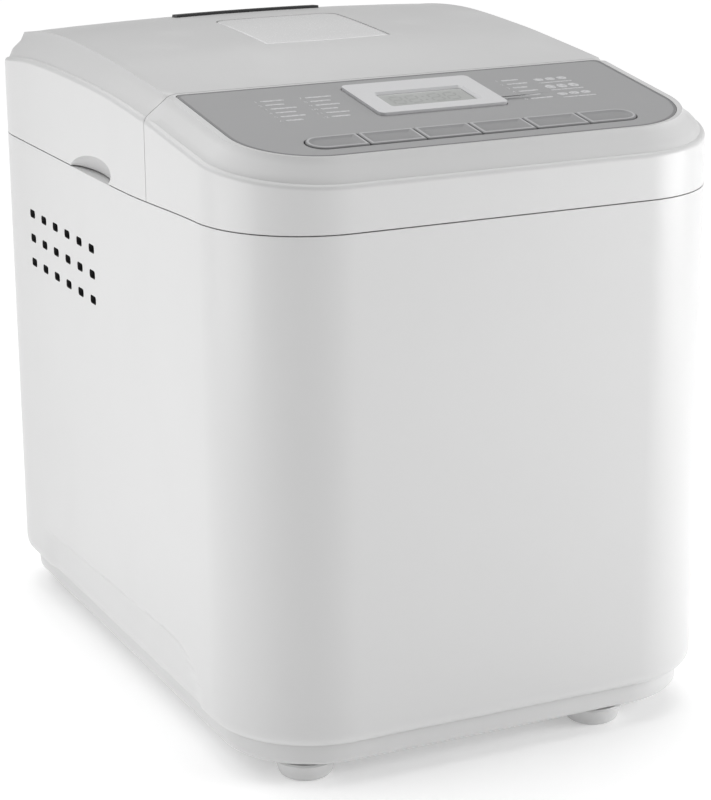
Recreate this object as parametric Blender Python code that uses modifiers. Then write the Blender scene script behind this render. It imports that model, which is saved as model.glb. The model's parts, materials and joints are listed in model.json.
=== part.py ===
"""Bread machine with a hinged lid, built as separate parts. Metres, +Z up, front towards -Y."""

from math import acos, cos, pi, radians, sin

import bmesh
import bpy
from mathutils import Matrix, Vector

# Casing. Plan positions are measured from the middle of the casing.
WIDTH, DEPTH = 0.225, 0.325
CORNER = 0.046  # radius of the upright corners
WALL = 0.0026
TOP_WALL = 0.0030
GAP = 0.0003  # between pieces that touch
HINGE_OVERHANG = 0.010  # how far the hinges stand out behind the casing
TRAY_BOTTOM, BODY_BOTTOM = 0.008, 0.0175
BLOCK_FOOT = 0.2220  # the covers' solid form is drawn down to here, then cut at the parting line
PARTING_GAP = 0.0006  # between the body and the covers
SEAM_Y = -0.060  # joint between control cover and lid
SEAM_GAP = 0.0005
TOP_INSET = 0.012  # width of the chamfer round the top
CROWN = 0.0025  # how far the lid's middle stands above its sides
CORNER_STEPS = 6
SIDE_STATIONS = 8

# Side profile of the top: height of the chamfer's lower edge and of its upper edge along Y.
CHAMFER_LINE = (
    (-0.1625, 0.2498), (-0.125, 0.2545), (-0.085, 0.2595), (-0.058, 0.2628),
    (-0.002, 0.2668), (0.081, 0.2672), (0.125, 0.2632), (0.1625, 0.2570),
)
LID_LINE = (
    (-0.061, 0.2717), (-0.028, 0.2746), (0.009, 0.2775),
    (0.064, 0.2796), (0.100, 0.2776), (0.130, 0.2732), (0.1625, 0.2660),
)

# The line between the body and the covers, level in front and a little lower under the lid.
PARTING_LINE = (
    (-0.125, 0.2305), (-0.106, 0.2301), (-0.087, 0.2294), (-0.063, 0.2283),
    (-0.040, 0.2275), (-0.005, 0.2272), (0.030, 0.2272),
)
LID_RIM = PARTING_LINE[-1][1]

# Control panel, on a plane that slopes down to the front.
PANEL_SLOPE = radians(8.1)
PANEL_MID_Y = -0.106
PANEL_HALF_X, PANEL_FRONT, PANEL_REAR = 0.0998, -0.0452, 0.0447
PANEL_CORNER = 0.033
PANEL_RECESS = 0.0016
BUTTON_COUNT, BUTTON_PITCH = 6, 0.0247
BUTTON_DEPTH, BUTTON_GAP, BUTTON_V = 0.0142, 0.0006, -0.0298
BUTTON_PROUD, BUTTON_FLANGE_TOP = 0.0006, -0.0034
BEZEL_SIZE, BEZEL_V = (0.059, 0.0394), 0.0157
WINDOW_SIZE, WINDOW_V = (0.039, 0.0168), 0.0129
BOARD_TOP = -0.0140
SWITCH_TOP = -0.0104

# Lid fittings
LID_WINDOW_X, LID_WINDOW_Y = 0.030, (0.0035, 0.064)
VENT_SLOT_X, VENT_SLOT_Y = 0.0366, 0.097
HINGE_Y, HINGE_Z = DEPTH / 2 + 0.0054, 0.226
HINGE_X = 0.047
KNUCKLE_RADIUS, PIN_RADIUS = 0.0046, 0.0020
KNUCKLE_WIDTH, EAR_WIDTH = 0.0108, 0.0056

# Side vents, finger recesses and the low grip relief
VENT_ROWS, VENT_COLUMNS = (0.1710, 0.1826, 0.1942), 6
VENT_FIRST_Y, VENT_PITCH = 0.0105, 0.0162
VENT_LENGTH, VENT_HEIGHT = 0.0070, 0.0038
RECESS_Y = 0.0090
SHELF_SIZE = (0.0116, 0.0285, 0.0078)  # half sizes of the rounded shelf under each finger recess
ARCH_SIZE, ARCH_TILT = (0.0066, 0.0275, 0.0077), radians(-8.5)  # and of the arch over it in the lid
ARCH_BACK = 0.0016  # wall behind the arch
RELIEF_DEPTH = 0.0012

# Baking chamber and pan, centred on the kneading shaft
CHAMBER_Y = 0.048
CHAMBER_HALF = (0.095, 0.087)
SHEET = 0.0012
CHASSIS_Z, CHASSIS_THICK = 0.0243, 0.0020
CHASSIS_TOP = CHASSIS_Z + CHASSIS_THICK
CHAMBER_Z, CHAMBER_TOP = CHASSIS_TOP + GAP, 0.2238
CHAMBER_FLOOR = CHAMBER_Z + SHEET
DECK_Z, DECK_THICK = 0.2242, 0.0022
PAN_FLOOR, PAN_RIM = 0.0460, 0.1850
ELEMENT_Z, ELEMENT_RADIUS = 0.0420, 0.00325
ELEMENT_HALF, TERMINAL_X = (0.084, 0.070), 0.018
PROBE_X, PROBE_Z = 0.050, 0.110
SHIELD_Y = -0.0480
HANDLE_Z, HANDLE_ARM, HANDLE_X = 0.1780, 0.0658, 0.0835
SHAFT_RADIUS = 0.0040

# Drive
MOTOR_AT = (-0.022, -0.100)
MOTOR_PULLEY_RADIUS, DRIVEN_PULLEY_RADIUS = 0.006, 0.038
PULLEY_Z = (0.0130, 0.0210)
BELT_THICK = 0.0016
MOTOR_SHAFT_RADIUS = 0.003
STATOR_Z = (0.062, 0.088)
ROTOR_RADIUS = 0.017

FEET = {
    "front_left": (-0.080, -0.1395),
    "front_right": (0.0545, -0.1435),
    "rear_left": (-0.084, 0.1385),
    "rear_right": (0.084, 0.1385),
}
FOOT_TOP_RADIUS, FOOT_BASE_RADIUS = 0.0130, 0.0105

WHITE = (0.80, 0.80, 0.79)
PANEL_GREY = (0.36, 0.36, 0.37)
STEEL = (0.55, 0.55, 0.56)
ALUMINIUM = (0.70, 0.70, 0.71)
DARK = (0.03, 0.03, 0.035)
COPPER = (0.72, 0.36, 0.18)
BRONZE = (0.60, 0.45, 0.22)


# ---------------------------------------------------------------- tools

def start_scene():
    for old in list(bpy.data.objects):
        bpy.data.objects.remove(old)
    parts = bpy.data.collections.new("bread_machine")
    cutters = bpy.data.collections.new("cutters")
    for collection in (parts, cutters):
        bpy.context.scene.collection.children.link(collection)
    return parts, cutters


PARTS, CUTTERS = start_scene()


def empty(name, location, parent=None, rotation=(0, 0, 0)):
    """A point that pieces are placed from; a moving piece's stands on its joint's axis."""
    point = bpy.data.objects.new(name, None)
    point.empty_display_size = 0.01
    PARTS.objects.link(point)
    point.parent = parent
    point.location = location
    point.rotation_euler = rotation
    return point


CASING = empty("casing_middle", (0, -HINGE_OVERHANG / 2, 0))


def add(name, mesh, parent=CASING, at=(0, 0, 0), turn=(0, 0, 0)):
    """A mesh as an object of the model, measured from its parent."""
    piece = bpy.data.objects.new(name, mesh)
    PARTS.objects.link(piece)
    piece.parent = parent
    piece.location = at
    piece.rotation_euler = turn
    return piece


def finish(piece, colour, roughness=0.4, metallic=0.0, smooth=True):
    """Give a piece its own material and smooth its round faces."""
    made = bpy.data.materials.new(piece.name)
    made.use_nodes = True
    shader = made.node_tree.nodes["Principled BSDF"]
    shader.inputs["Base Color"].default_value = (*colour, 1)
    shader.inputs["Roughness"].default_value = roughness
    shader.inputs["Metallic"].default_value = metallic
    piece.data.materials.clear()
    piece.data.materials.append(made)
    if smooth:
        piece.data.shade_smooth()
        piece.data.set_sharp_from_angle(angle=radians(35))
    return piece


def cutter(piece):
    """Keep a piece only as a tool for the Booleans."""
    PARTS.objects.unlink(piece)
    CUTTERS.objects.link(piece)
    piece.hide_render = True
    piece.display_type = "WIRE"
    return piece


def boolean(piece, tool, operation="DIFFERENCE"):
    step = piece.modifiers.new(operation.lower(), "BOOLEAN")
    step.object = tool
    step.operation = operation
    step.solver = "EXACT"
    return piece


def cut(piece, tool):
    return boolean(piece, cutter(tool))


def join(piece, tool):
    return boolean(piece, cutter(tool), "UNION")


def keep(piece, tool):
    return boolean(piece, cutter(tool), "INTERSECT")


def from_bmesh(name, work, parent=CASING, at=(0, 0, 0), turn=(0, 0, 0)):
    bmesh.ops.recalc_face_normals(work, faces=work.faces)
    mesh = bpy.data.meshes.new(name)
    work.to_mesh(mesh)
    work.free()
    return add(name, mesh, parent, at, turn)


def box(name, low, high, parent=CASING, bevel=0.0):
    """An upright box between two corners, its edges rounded by bevel."""
    work = bmesh.new()
    bmesh.ops.create_cube(work, size=1)
    low, high = Vector(low), Vector(high)
    bmesh.ops.scale(work, vec=high - low, verts=work.verts)
    bmesh.ops.translate(work, vec=(low + high) / 2, verts=work.verts)
    if bevel:
        bmesh.ops.bevel(work, geom=work.edges, offset=bevel, segments=2, profile=0.5, affect="EDGES")
    return from_bmesh(name, work, parent)


def rod(name, radius, start, end, parent=CASING, steps=16):
    """A cylinder from one point to another."""
    start, end = Vector(start), Vector(end)
    along = end - start
    work = bmesh.new()
    bmesh.ops.create_cone(
        work, cap_ends=True, segments=steps, radius1=radius, radius2=radius, depth=along.length,
    )
    turn = along.to_track_quat("Z", "Y").to_matrix().to_4x4()
    bmesh.ops.transform(work, matrix=Matrix.Translation((start + end) / 2) @ turn, verts=work.verts)
    return from_bmesh(name, work, parent)


def ball(name, half_size, centre, parent=CASING):
    """An ellipsoid, for the dished finger recesses."""
    work = bmesh.new()
    bmesh.ops.create_uvsphere(work, u_segments=20, v_segments=12, radius=1)
    bmesh.ops.scale(work, vec=half_size, verts=work.verts)
    bmesh.ops.translate(work, vec=centre, verts=work.verts)
    return from_bmesh(name, work, parent)


def turned(name, profile, parent=CASING, at=(0, 0, 0), turn=(0, 0, 0), steps=16):
    """A solid of revolution about Z; profile is (radius, height), down the outside and closed."""
    work = bmesh.new()
    points = [work.verts.new((radius, 0, height)) for radius, height in profile]
    closed = profile[0][0] > 0 and profile[-1][0] > 0
    for one, other in zip(points, points[1:] + points[:1] if closed else points[1:]):
        work.edges.new((one, other))
    mesh = bpy.data.meshes.new(name)
    work.to_mesh(mesh)
    work.free()
    piece = add(name, mesh, parent, at, turn)
    screw = piece.modifiers.new("turn", "SCREW")
    screw.steps = screw.render_steps = steps
    screw.use_merge_vertices = True
    screw.merge_threshold = 0.00001
    return piece


def corner_arc(centre, radius, first, steps=CORNER_STEPS):
    """A quarter circle from the angle first, anticlockwise."""
    return [
        (centre[0] + radius * cos(first + pi / 2 * k / steps), centre[1] + radius * sin(first + pi / 2 * k / steps))
        for k in range(steps + 1)
    ]


def rounded(x, y, radii, steps=CORNER_STEPS):
    """A rectangle between x[0]..x[1] and y[0]..y[1]; radii run front left, front right, rear right, rear left."""
    front_left, front_right, rear_right, rear_left = (radii,) * 4 if isinstance(radii, float) else radii
    return (
        corner_arc((x[0] + front_left, y[0] + front_left), front_left, pi, steps)
        + corner_arc((x[1] - front_right, y[0] + front_right), front_right, 1.5 * pi, steps)
        + corner_arc((x[1] - rear_right, y[1] - rear_right), rear_right, 0, steps)
        + corner_arc((x[0] + rear_left, y[1] - rear_left), rear_left, pi / 2, steps)
    )


def plate(name, outlines, low, thickness, parent=CASING, at=(0, 0, 0), turn=(0, 0, 0)):
    """A flat plate of even thickness; the outlines after the first are holes in it."""
    curve = bpy.data.curves.new(name, "CURVE")
    curve.dimensions = "2D"
    curve.fill_mode = "BOTH"
    curve.extrude = thickness / 2
    for outline in outlines:
        spline = curve.splines.new("POLY")
        spline.points.add(len(outline) - 1)
        for point, (x, y) in zip(spline.points, outline):
            point.co = (x, y, 0, 1)
        spline.use_cyclic_u = True
    drawn = bpy.data.objects.new(name + "_curve", curve)
    bpy.context.scene.collection.objects.link(drawn)
    mesh = bpy.data.meshes.new_from_object(drawn.evaluated_get(bpy.context.evaluated_depsgraph_get()))
    bpy.data.objects.remove(drawn)
    work = bmesh.new()
    work.from_mesh(mesh)
    bmesh.ops.remove_doubles(work, verts=work.verts, dist=0.000001)
    bmesh.ops.translate(work, vec=(0, 0, low + thickness / 2), verts=work.verts)
    return from_bmesh(name, work, parent, at, turn)


def side_view_plate(name, outline, x_low, width):
    """A plate drawn in Y and Z and spread along X."""
    piece = plate(name, [outline], 0, width)
    for vertex in piece.data.vertices:
        a, b, c = vertex.co
        vertex.co = (x_low + c, a, b)
    return piece


def circle(radius, centre=(0, 0), steps=16):
    return [
        (centre[0] + radius * cos(2 * pi * k / steps), centre[1] + radius * sin(2 * pi * k / steps))
        for k in range(steps)
    ]


def loft(name, rings, ring_shaped=False, ridged=False):
    """A skin through rings of equal length. Its ends are capped, or joined if ring_shaped; a ridged
    skin's last ring is already a line that closes it."""
    work = bmesh.new()
    rows = [[work.verts.new(point) for point in ring] for ring in rings]
    count = len(rows[0])
    for low, high in zip(rows, rows[1:] + rows[:1] if ring_shaped else rows[1:]):
        for k in range(count):
            work.faces.new((low[k], low[(k + 1) % count], high[(k + 1) % count], high[k]))
    if not ring_shaped:
        work.faces.new(rows[0][::-1])
        if not ridged:
            work.faces.new(rows[-1])
    bmesh.ops.remove_doubles(work, verts=work.verts, dist=0.0000001)
    return from_bmesh(name, work)


def tub_ring(half_x, half_y, radius, z, mid_y=0.0):
    outline = rounded((-half_x, half_x), (mid_y - half_y, mid_y + half_y), radius, 5)
    return [(x, y, z) for x, y in outline]


# ---------------------------------------------------------------- the casing's form

def smooth_line(points, at):
    """Height on a smooth curve through points of (y, z), by cubic Hermite pieces."""
    at = min(max(at, points[0][0]), points[-1][0])
    k = max(n for n in range(len(points) - 1) if points[n][0] <= at)

    def slope(n):
        before, after = points[max(n - 1, 0)], points[min(n + 1, len(points) - 1)]
        return (after[1] - before[1]) / (after[0] - before[0])

    (y0, z0), (y1, z1) = points[k], points[k + 1]
    span = y1 - y0
    t = (at - y0) / span
    return (
        z0 * (2 * t**3 - 3 * t**2 + 1) + z1 * (3 * t**2 - 2 * t**3)
        + span * (slope(k) * (t**3 - 2 * t**2 + t) + slope(k + 1) * (t**3 - t**2))
    )


def panel_height(y):
    """The control panel's plane, which meets the lid's line at the seam."""
    return LID_LINE[0][1] + (y - LID_LINE[0][0]) * sin(PANEL_SLOPE) / cos(PANEL_SLOPE)


def top_height(x, y):
    """The top surface: a flat slope in front of the seam, and a crowned lid behind it."""
    if y < LID_LINE[0][0]:
        return panel_height(y)
    rise = min((y - LID_LINE[0][0]) / 0.07, 1)
    across = max(1 - (x / (WIDTH / 2 - TOP_INSET)) ** 2, 0)
    return smooth_line(LID_LINE, y) + CROWN * rise * rise * (3 - 2 * rise) * across


def casing_outline(inset, side_stations=1):
    """The casing's plan outline moved in by inset; more stations divide its long sides."""
    radius = max(CORNER - inset, 0.002)
    half_x, half_y = WIDTH / 2 - inset, DEPTH / 2 - inset
    corners = rounded((-half_x, half_x), (-half_y, half_y), radius)
    per_corner = CORNER_STEPS + 1
    stations = [(2 * k / side_stations - 1) * (half_y - radius) for k in range(1, side_stations)]
    right = [(half_x, y) for y in stations]
    left = [(-half_x, -y) for y in stations]
    return corners[: 2 * per_corner] + right + corners[2 * per_corner:] + left


def top_block(name, inset, drop, foot_z):
    """The solid form of the whole top, moved in by inset and lowered by drop."""
    outline = casing_outline(inset, SIDE_STATIONS)
    foot = [(x, y, foot_z) for x, y in outline]
    side = [(x, y, smooth_line(CHAMFER_LINE, y) - drop) for x, y in outline]
    rings = [foot, side]
    for step in (TOP_INSET, 0.026, 0.044, 0.075, 0.105):
        rings.append([(x, y, top_height(x, y) - drop) for x, y in casing_outline(step, SIDE_STATIONS)])
    rings.append([(0, y, top_height(0, y) - drop) for x, y, z in rings[-1]])
    return loft(name, rings, ridged=True)


PANEL = empty("panel_middle", (0, PANEL_MID_Y, panel_height(PANEL_MID_Y)), CASING, (PANEL_SLOPE, 0, 0))


def panel_outline(margin):
    return rounded(
        (-PANEL_HALF_X + margin, PANEL_HALF_X - margin),
        (PANEL_FRONT + margin, PANEL_REAR - margin),
        (PANEL_CORNER - margin, PANEL_CORNER - margin, 0.003, 0.003),
    )


def button_row_outline(margin):
    half_x = BUTTON_COUNT * BUTTON_PITCH / 2 + margin
    half_v = BUTTON_DEPTH / 2 + margin
    return rounded((-half_x, half_x), (BUTTON_V - half_v, BUTTON_V + half_v), half_v - 0.0001)


def rectangle(size, mid_v, margin, radius):
    half_x, half_v = size[0] / 2 + margin, size[1] / 2 + margin
    return rounded((-half_x, half_x), (mid_v - half_v, mid_v + half_v), radius, 4)


# ---------------------------------------------------------------- casing pieces

def parting_tool(name, offset, above):
    """Everything above or below the parting line moved by offset, across the whole casing."""
    far = 0.26 if above else 0.18
    stations = [PARTING_LINE[0][0] + 0.011 * k for k in range(13)]
    line = [(y, smooth_line(PARTING_LINE, y) + offset) for y in [-0.2] + stations + [0.2]]
    return side_view_plate(name, line + [(0.2, far), (-0.2, far)], -0.2, 0.4)


def recess_shelves(name, grow):
    """The thickenings of the body's rim that a finger passes over, or their enlarged outlines."""
    return [
        ball(f"{name}_{word}", [half + grow for half in SHELF_SIZE], (side * (WIDTH / 2 + 0.0016), RECESS_Y, LID_RIM))
        for side, word in ((-1, "left"), (1, "right"))
    ]


def body_shell():
    outer = ((0.0050, BODY_BOTTOM), (0.0022, 0.0192), (0.0006, 0.0222), (0, 0.0262))
    outer += ((0, BLOCK_FOOT + 0.01),)
    inner = ((WALL, BLOCK_FOOT + 0.01), (WALL, 0.0270), (0.0078, BODY_BOTTOM))
    rings = [[(x, y, z) for x, y in casing_outline(inset)] for inset, z in outer + inner]
    shell = loft("body_shell", rings, ring_shaped=True)
    for shelf in recess_shelves("recess_shelf", 0):
        keep(shelf, box(shelf.name + "_limit", (-0.1118, -0.05, 0.20), (0.1118, 0.08, LID_RIM + 0.0010)))
        join(shell, shelf)
    cut(shell, parting_tool("above_body", -PARTING_GAP / 2, True))
    cut(shell, side_vents())
    for side in (-1, 1):
        cut(shell, side_relief(side))
    cut(shell, rod("gland_hole", 0.0080, (-0.060, 0.15, 0.050), (-0.060, 0.17, 0.050)))
    return finish(shell, WHITE, 0.3)


def side_vents():
    """All vent slots of both sides as one tool."""
    work = bmesh.new()
    half_length, half_height = VENT_LENGTH / 2, VENT_HEIGHT / 2
    outline = rounded((-half_length, half_length), (-half_height, half_height), half_height * 0.9, 1)
    for side in (-1, 1):
        for z in VENT_ROWS:
            for column in range(VENT_COLUMNS):
                y = VENT_FIRST_Y + column * VENT_PITCH
                near = [work.verts.new((side * 0.105, y + a, z + b)) for a, b in outline]
                face = work.faces.new(near)
                grown = bmesh.ops.extrude_face_region(work, geom=[face])["geom"]
                moved = [item for item in grown if isinstance(item, bmesh.types.BMVert)]
                bmesh.ops.translate(work, vec=(side * 0.012, 0, 0), verts=moved)
    return from_bmesh("side_vent_slots", work)


def side_relief(side):
    """A shallow hand relief low on one side, ending in a long curve towards the front."""
    front, top, rear = -0.104, 0.0425, 0.078
    curve = [(front + 0.034 * (1 - cos(a)), 0.0185 + (top - 0.0185) * sin(a)) for a in (0, 0.4, 0.8, 1.2, pi / 2)]
    outline = [(rear, 0.010), (rear, 0.0385)] + curve[::-1] + [(front, 0.010)]
    tool = plate(f"relief_{'right' if side > 0 else 'left'}", [outline[::-1]], 0, 0.010)
    tool.rotation_euler = (pi / 2, 0, pi / 2)
    tool.location = (side * (WIDTH / 2 - RELIEF_DEPTH) - (0.010 if side < 0 else 0), 0, 0)
    return tool


def base_tray():
    levels = ((0.0072, TRAY_BOTTOM), (0.0060, BODY_BOTTOM - GAP))
    inner = ((0.0090, BODY_BOTTOM - GAP), (0.0110, TRAY_BOTTOM + 0.0028))
    rings = [[(x, y, z) for x, y in casing_outline(inset)] for inset, z in levels + inner]
    tray = loft("base_tray", rings)
    for word, (x, y) in FEET.items():
        cut(tray, rod(f"tray_hole_{word}", 0.0023, (x, y, 0), (x, y, 0.02), steps=12))
    return finish(tray, WHITE, 0.35)


def foot_and_screw(word, at):
    foot = turned(
        f"foot_{word}",
        ((0.0023, TRAY_BOTTOM - GAP), (FOOT_TOP_RADIUS, TRAY_BOTTOM - GAP), (FOOT_BASE_RADIUS + 0.0006, 0.0008),
         (FOOT_BASE_RADIUS, 0), (0.0048, 0), (0.0048, 0.0040), (0.0023, 0.0040)),
        at=(*at, 0),
    )
    screw = turned(
        f"base_screw_{word}",
        ((0, 0.0200), (0.0020, 0.0200), (0.0020, 0.0037), (0.0043, 0.0037), (0.0043, 0.0016), (0, 0.0016)),
        at=(*at, 0), steps=12,
    )
    finish(foot, WHITE, 0.4)
    finish(screw, STEEL, 0.3, 1.0)


def control_cover():
    cover = top_block("control_cover", 0, 0, BLOCK_FOOT)
    cut(cover, box("behind_seam", (-0.2, SEAM_Y - SEAM_GAP / 2, 0.2), (0.2, 0.2, 0.3)))
    hollow = top_block("cover_hollow", WALL, TOP_WALL, BLOCK_FOOT - 0.01)
    cut(hollow, box("cover_rear_wall", (-0.2, SEAM_Y - WALL, 0.2), (0.2, 0.2, 0.3)))
    cut(cover, hollow)
    cut(cover, parting_tool("below_cover", PARTING_GAP / 2, False))
    for side in (-1, 1):
        for v in (-0.036, 0.031):
            post = rod(f"board_post_{side}_{v}", 0.003, (side * 0.085, v, -0.0022),
                       (side * 0.085, v, BOARD_TOP + GAP), PANEL, 12)
            join(cover, post)
    cut(cover, plate("panel_recess", [panel_outline(0)], -PANEL_RECESS, 0.02, PANEL))
    cut(cover, plate("button_opening", [button_row_outline(GAP)], -0.02, 0.03, PANEL))
    cut(cover, plate("display_opening", [rectangle((0.047, 0.027), BEZEL_V, GAP, 0.002)], -0.02, 0.03, PANEL))
    return finish(cover, WHITE, 0.3)


def control_panel():
    holes = [button_row_outline(GAP), rectangle(BEZEL_SIZE, BEZEL_V, GAP, 0.006)]
    panel = plate("control_panel", [panel_outline(GAP)] + holes, GAP - PANEL_RECESS, PANEL_RECESS - GAP, PANEL)
    return finish(panel, PANEL_GREY, 0.35, smooth=False)


def display():
    opening = rectangle(WINDOW_SIZE, WINDOW_V, GAP, 0.0015)
    bezel = plate("display_bezel", [rectangle(BEZEL_SIZE, BEZEL_V, 0, 0.006), opening],
                  GAP - PANEL_RECESS, PANEL_RECESS - GAP + 0.0012, PANEL)
    finish(bezel, (0.72, 0.72, 0.73), 0.3, smooth=False)
    lens = plate("display_window", [rectangle(WINDOW_SIZE, WINDOW_V, 0, 0.0012)], -0.0010, 0.0012, PANEL)
    finish(lens, (0.45, 0.47, 0.46), 0.1, smooth=False)
    low, high = BOARD_TOP + GAP, GAP - PANEL_RECESS - GAP
    module = box("display_module", (-0.0232, BEZEL_V - 0.0132, low), (0.0232, BEZEL_V + 0.0132, high), PANEL)
    finish(module, (0.25, 0.27, 0.25), 0.5, smooth=False)


def button_x(index):
    return (index - (BUTTON_COUNT - 1) / 2) * BUTTON_PITCH


def control_board():
    board = box("control_board", (-0.090, -0.041, BOARD_TOP - 0.0016), (0.090, 0.035, BOARD_TOP), PANEL)
    for index in range(BUTTON_COUNT):
        x = button_x(index)
        switch = box(f"tact_switch_{index + 1}", (x - 0.003, BUTTON_V - 0.003, BOARD_TOP - 0.0005),
                     (x + 0.003, BUTTON_V + 0.003, SWITCH_TOP), PANEL)
        join(board, switch)
    join(board, box("control_chip", (0.040, 0.006, BOARD_TOP - 0.0005), (0.054, 0.020, BOARD_TOP + 0.002), PANEL))
    return finish(board, (0.05, 0.25, 0.10), 0.5, smooth=False)


def button(index):
    """A key cap with a flange that holds it under the cover, and a stem over its switch."""
    holder = empty(f"button_{index + 1}_travel", (button_x(index), BUTTON_V, 0), PANEL)
    half_x, half_v = (BUTTON_PITCH - BUTTON_GAP) / 2, BUTTON_DEPTH / 2
    round_end, inner = half_v - 0.0001, 0.0008
    left = round_end if index == 0 else inner
    right = round_end if index == BUTTON_COUNT - 1 else inner
    outline = rounded((-half_x, half_x), (-half_v, half_v), (left, right, right, left))
    cap = plate(f"button_{index + 1}", [outline], BUTTON_FLANGE_TOP - 0.0004,
                BUTTON_PROUD - BUTTON_FLANGE_TOP + 0.0004, holder)
    flange_low = BUTTON_FLANGE_TOP - 0.0010
    join(cap, box(f"button_flange_{index + 1}", (-half_x + 0.0003, -0.0095, flange_low),
                  (half_x - 0.0003, 0.0095, BUTTON_FLANGE_TOP), holder))
    join(cap, rod(f"button_stem_{index + 1}", 0.0024, (0, 0, flange_low + 0.0004), (0, 0, -0.0092), holder, 12))
    return finish(cap, PANEL_GREY, 0.35, smooth=False)


# ---------------------------------------------------------------- lid

def prism(name, outline, low=0.24, high=0.30):
    return plate(name, [outline], low, high - low)


def window_outline(margin):
    """The lid window: straight sides and rear, and a front edge that bulges a little."""
    half_x, (front, rear) = LID_WINDOW_X - margin, LID_WINDOW_Y
    bulge = [(half_x * t, front + margin - 0.0022 * (1 - t * t)) for t in (-1, -0.6, -0.2, 0.2, 0.6, 1)]
    return bulge + corner_arc((half_x - 0.005, rear - margin - 0.005), 0.005, 0, 4) \
        + corner_arc((-half_x + 0.005, rear - margin - 0.005), 0.005, pi / 2, 4)


def vent_outline(margin):
    """The steam outlet: a slim bow whose ends are thicker than its middle."""
    half = VENT_SLOT_X - margin
    steps = [k / 5 - 1 for k in range(11)]
    front = [(half * t, VENT_SLOT_Y - 0.0026 - 0.0008 * t * t + margin) for t in steps]
    rear = [(half * t, VENT_SLOT_Y + 0.0026 + 0.0008 * t * t - margin) for t in steps]
    return front + rear[::-1]


def knuckle_outline():
    """Side view of a lid knuckle: round the pin, then up and forward into the lid's rear wall."""
    wall = DEPTH / 2
    lower = [(KNUCKLE_RADIUS * cos(a), KNUCKLE_RADIUS * sin(a)) for a in
             (pi + pi * k / 10 for k in range(11))]
    ring = [(HINGE_Y + y, HINGE_Z + z) for y, z in lower]
    return ring + [(HINGE_Y + 0.0040, 0.2330), (wall + 0.0020, 0.2420), (wall - 0.0012, 0.2420),
                   (wall - 0.0012, LID_RIM + 0.0010), (HINGE_Y - KNUCKLE_RADIUS, LID_RIM + 0.0010)]


LID = empty("lid_hinge", (0, HINGE_Y, HINGE_Z), CASING)


def hang_on_lid(piece):
    """Measure a lid piece from the hinge's axis, where it turns."""
    piece.parent = LID
    piece.location = (0, -HINGE_Y, -HINGE_Z)
    return piece


def lid_hollow(name, drop):
    hollow = top_block(name, WALL, drop, BLOCK_FOOT - 0.01)
    return cut(hollow, box(name + "_front", (-0.2, -0.2, 0.2), (0.2, SEAM_Y + WALL, 0.3)))


def finger_arch(name, side, grow):
    """The dished arch over a finger recess, higher towards the front."""
    arch = ball(name, [half + grow for half in ARCH_SIZE], (0, 0, 0))
    arch.rotation_euler = (ARCH_TILT, 0, 0)
    arch.location = (side * (WIDTH / 2 + 0.0008), RECESS_Y, LID_RIM + 0.0008)
    return arch


def lid_shell():
    lid = top_block("lid_shell", 0, 0, BLOCK_FOOT)
    cut(lid, box("before_seam", (-0.2, -0.2, 0.2), (0.2, SEAM_Y + SEAM_GAP / 2, 0.3)))
    cut(lid, lid_hollow("lid_hollow", TOP_WALL))
    cut(lid, parting_tool("below_lid", PARTING_GAP / 2, False))
    cut(lid, prism("window_opening", window_outline(-GAP)))
    cut(lid, prism("steam_opening", vent_outline(-GAP)))
    for side in (-1, 1):
        back = finger_arch(f"arch_back_{side}", side, ARCH_BACK)
        join(lid, keep(back, box(f"arch_limit_{side}", (-0.1118, -0.05, LID_RIM + GAP), (0.1118, 0.08, 0.25))))
        cut(lid, finger_arch(f"finger_arch_{side}", side, 0))
        join(lid, side_view_plate(f"knuckle_{side}", knuckle_outline(),
                                  side * HINGE_X - KNUCKLE_WIDTH / 2, KNUCKLE_WIDTH))
    for side in (-1, 1):
        cut(lid, rod(f"knuckle_bore_{side}", PIN_RADIUS + GAP, (side * HINGE_X - 0.01, HINGE_Y, HINGE_Z),
                     (side * HINGE_X + 0.01, HINGE_Y, HINGE_Z), steps=12))
    return finish(hang_on_lid(lid), WHITE, 0.3)


def lid_window():
    window = prism("lid_window", window_outline(0))
    keep(window, top_block("window_top", 0, 0, 0.2))
    cut(window, top_block("window_underside", WALL, 0.0028, 0.2))
    return finish(hang_on_lid(window), (0.78, 0.78, 0.79), 0.35)


def steam_vent():
    vent = prism("steam_vent", vent_outline(0))
    keep(vent, top_block("vent_top", 0, 0.0006, 0.2))
    cut(vent, top_block("vent_underside", WALL, 0.0060, 0.2))
    for x in (-0.024, 0, 0.024):
        cut(vent, box(f"steam_slot_{x}", (x - 0.009, VENT_SLOT_Y - 0.0009, 0.2), (x + 0.009, VENT_SLOT_Y + 0.0009, 0.3)))
    return finish(hang_on_lid(vent), DARK, 0.5)


def lid_liner():
    """The lid's inner metal skin, dished upwards over the pan so that its handle can swing."""
    flange = rounded((-0.1045, 0.1045), (-0.0535, 0.1545), (0.012, 0.012, 0.038, 0.038))
    foot = rounded((-0.096, 0.096), (-0.032, 0.128), 0.022)
    roof = rounded((-0.090, 0.090), (-0.026, 0.122), 0.020)
    rings = [
        [(x, y, 0.2540) for x, y in roof], [(x, y, 0.2345) for x, y in foot],
        [(x, y, 0.2345) for x, y in flange], [(x, y, 0.2357) for x, y in flange],
        [(x, y, 0.2357) for x, y in foot], [(x, y, 0.2552) for x, y in roof],
    ]
    rings[4] = [(x * 1.012, CHAMBER_Y + (y - CHAMBER_Y) * 1.012, z) for x, y, z in rings[4]]
    rings[5] = [(x * 1.012, CHAMBER_Y + (y - CHAMBER_Y) * 1.012, z) for x, y, z in rings[5]]
    liner = loft("lid_liner", rings)
    cut(liner, prism("liner_opening", rounded((-0.028, 0.028), (0.006, 0.062), 0.006, 3), 0.22, 0.27))
    return finish(hang_on_lid(liner), ALUMINIUM, 0.35, 1.0)


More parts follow.
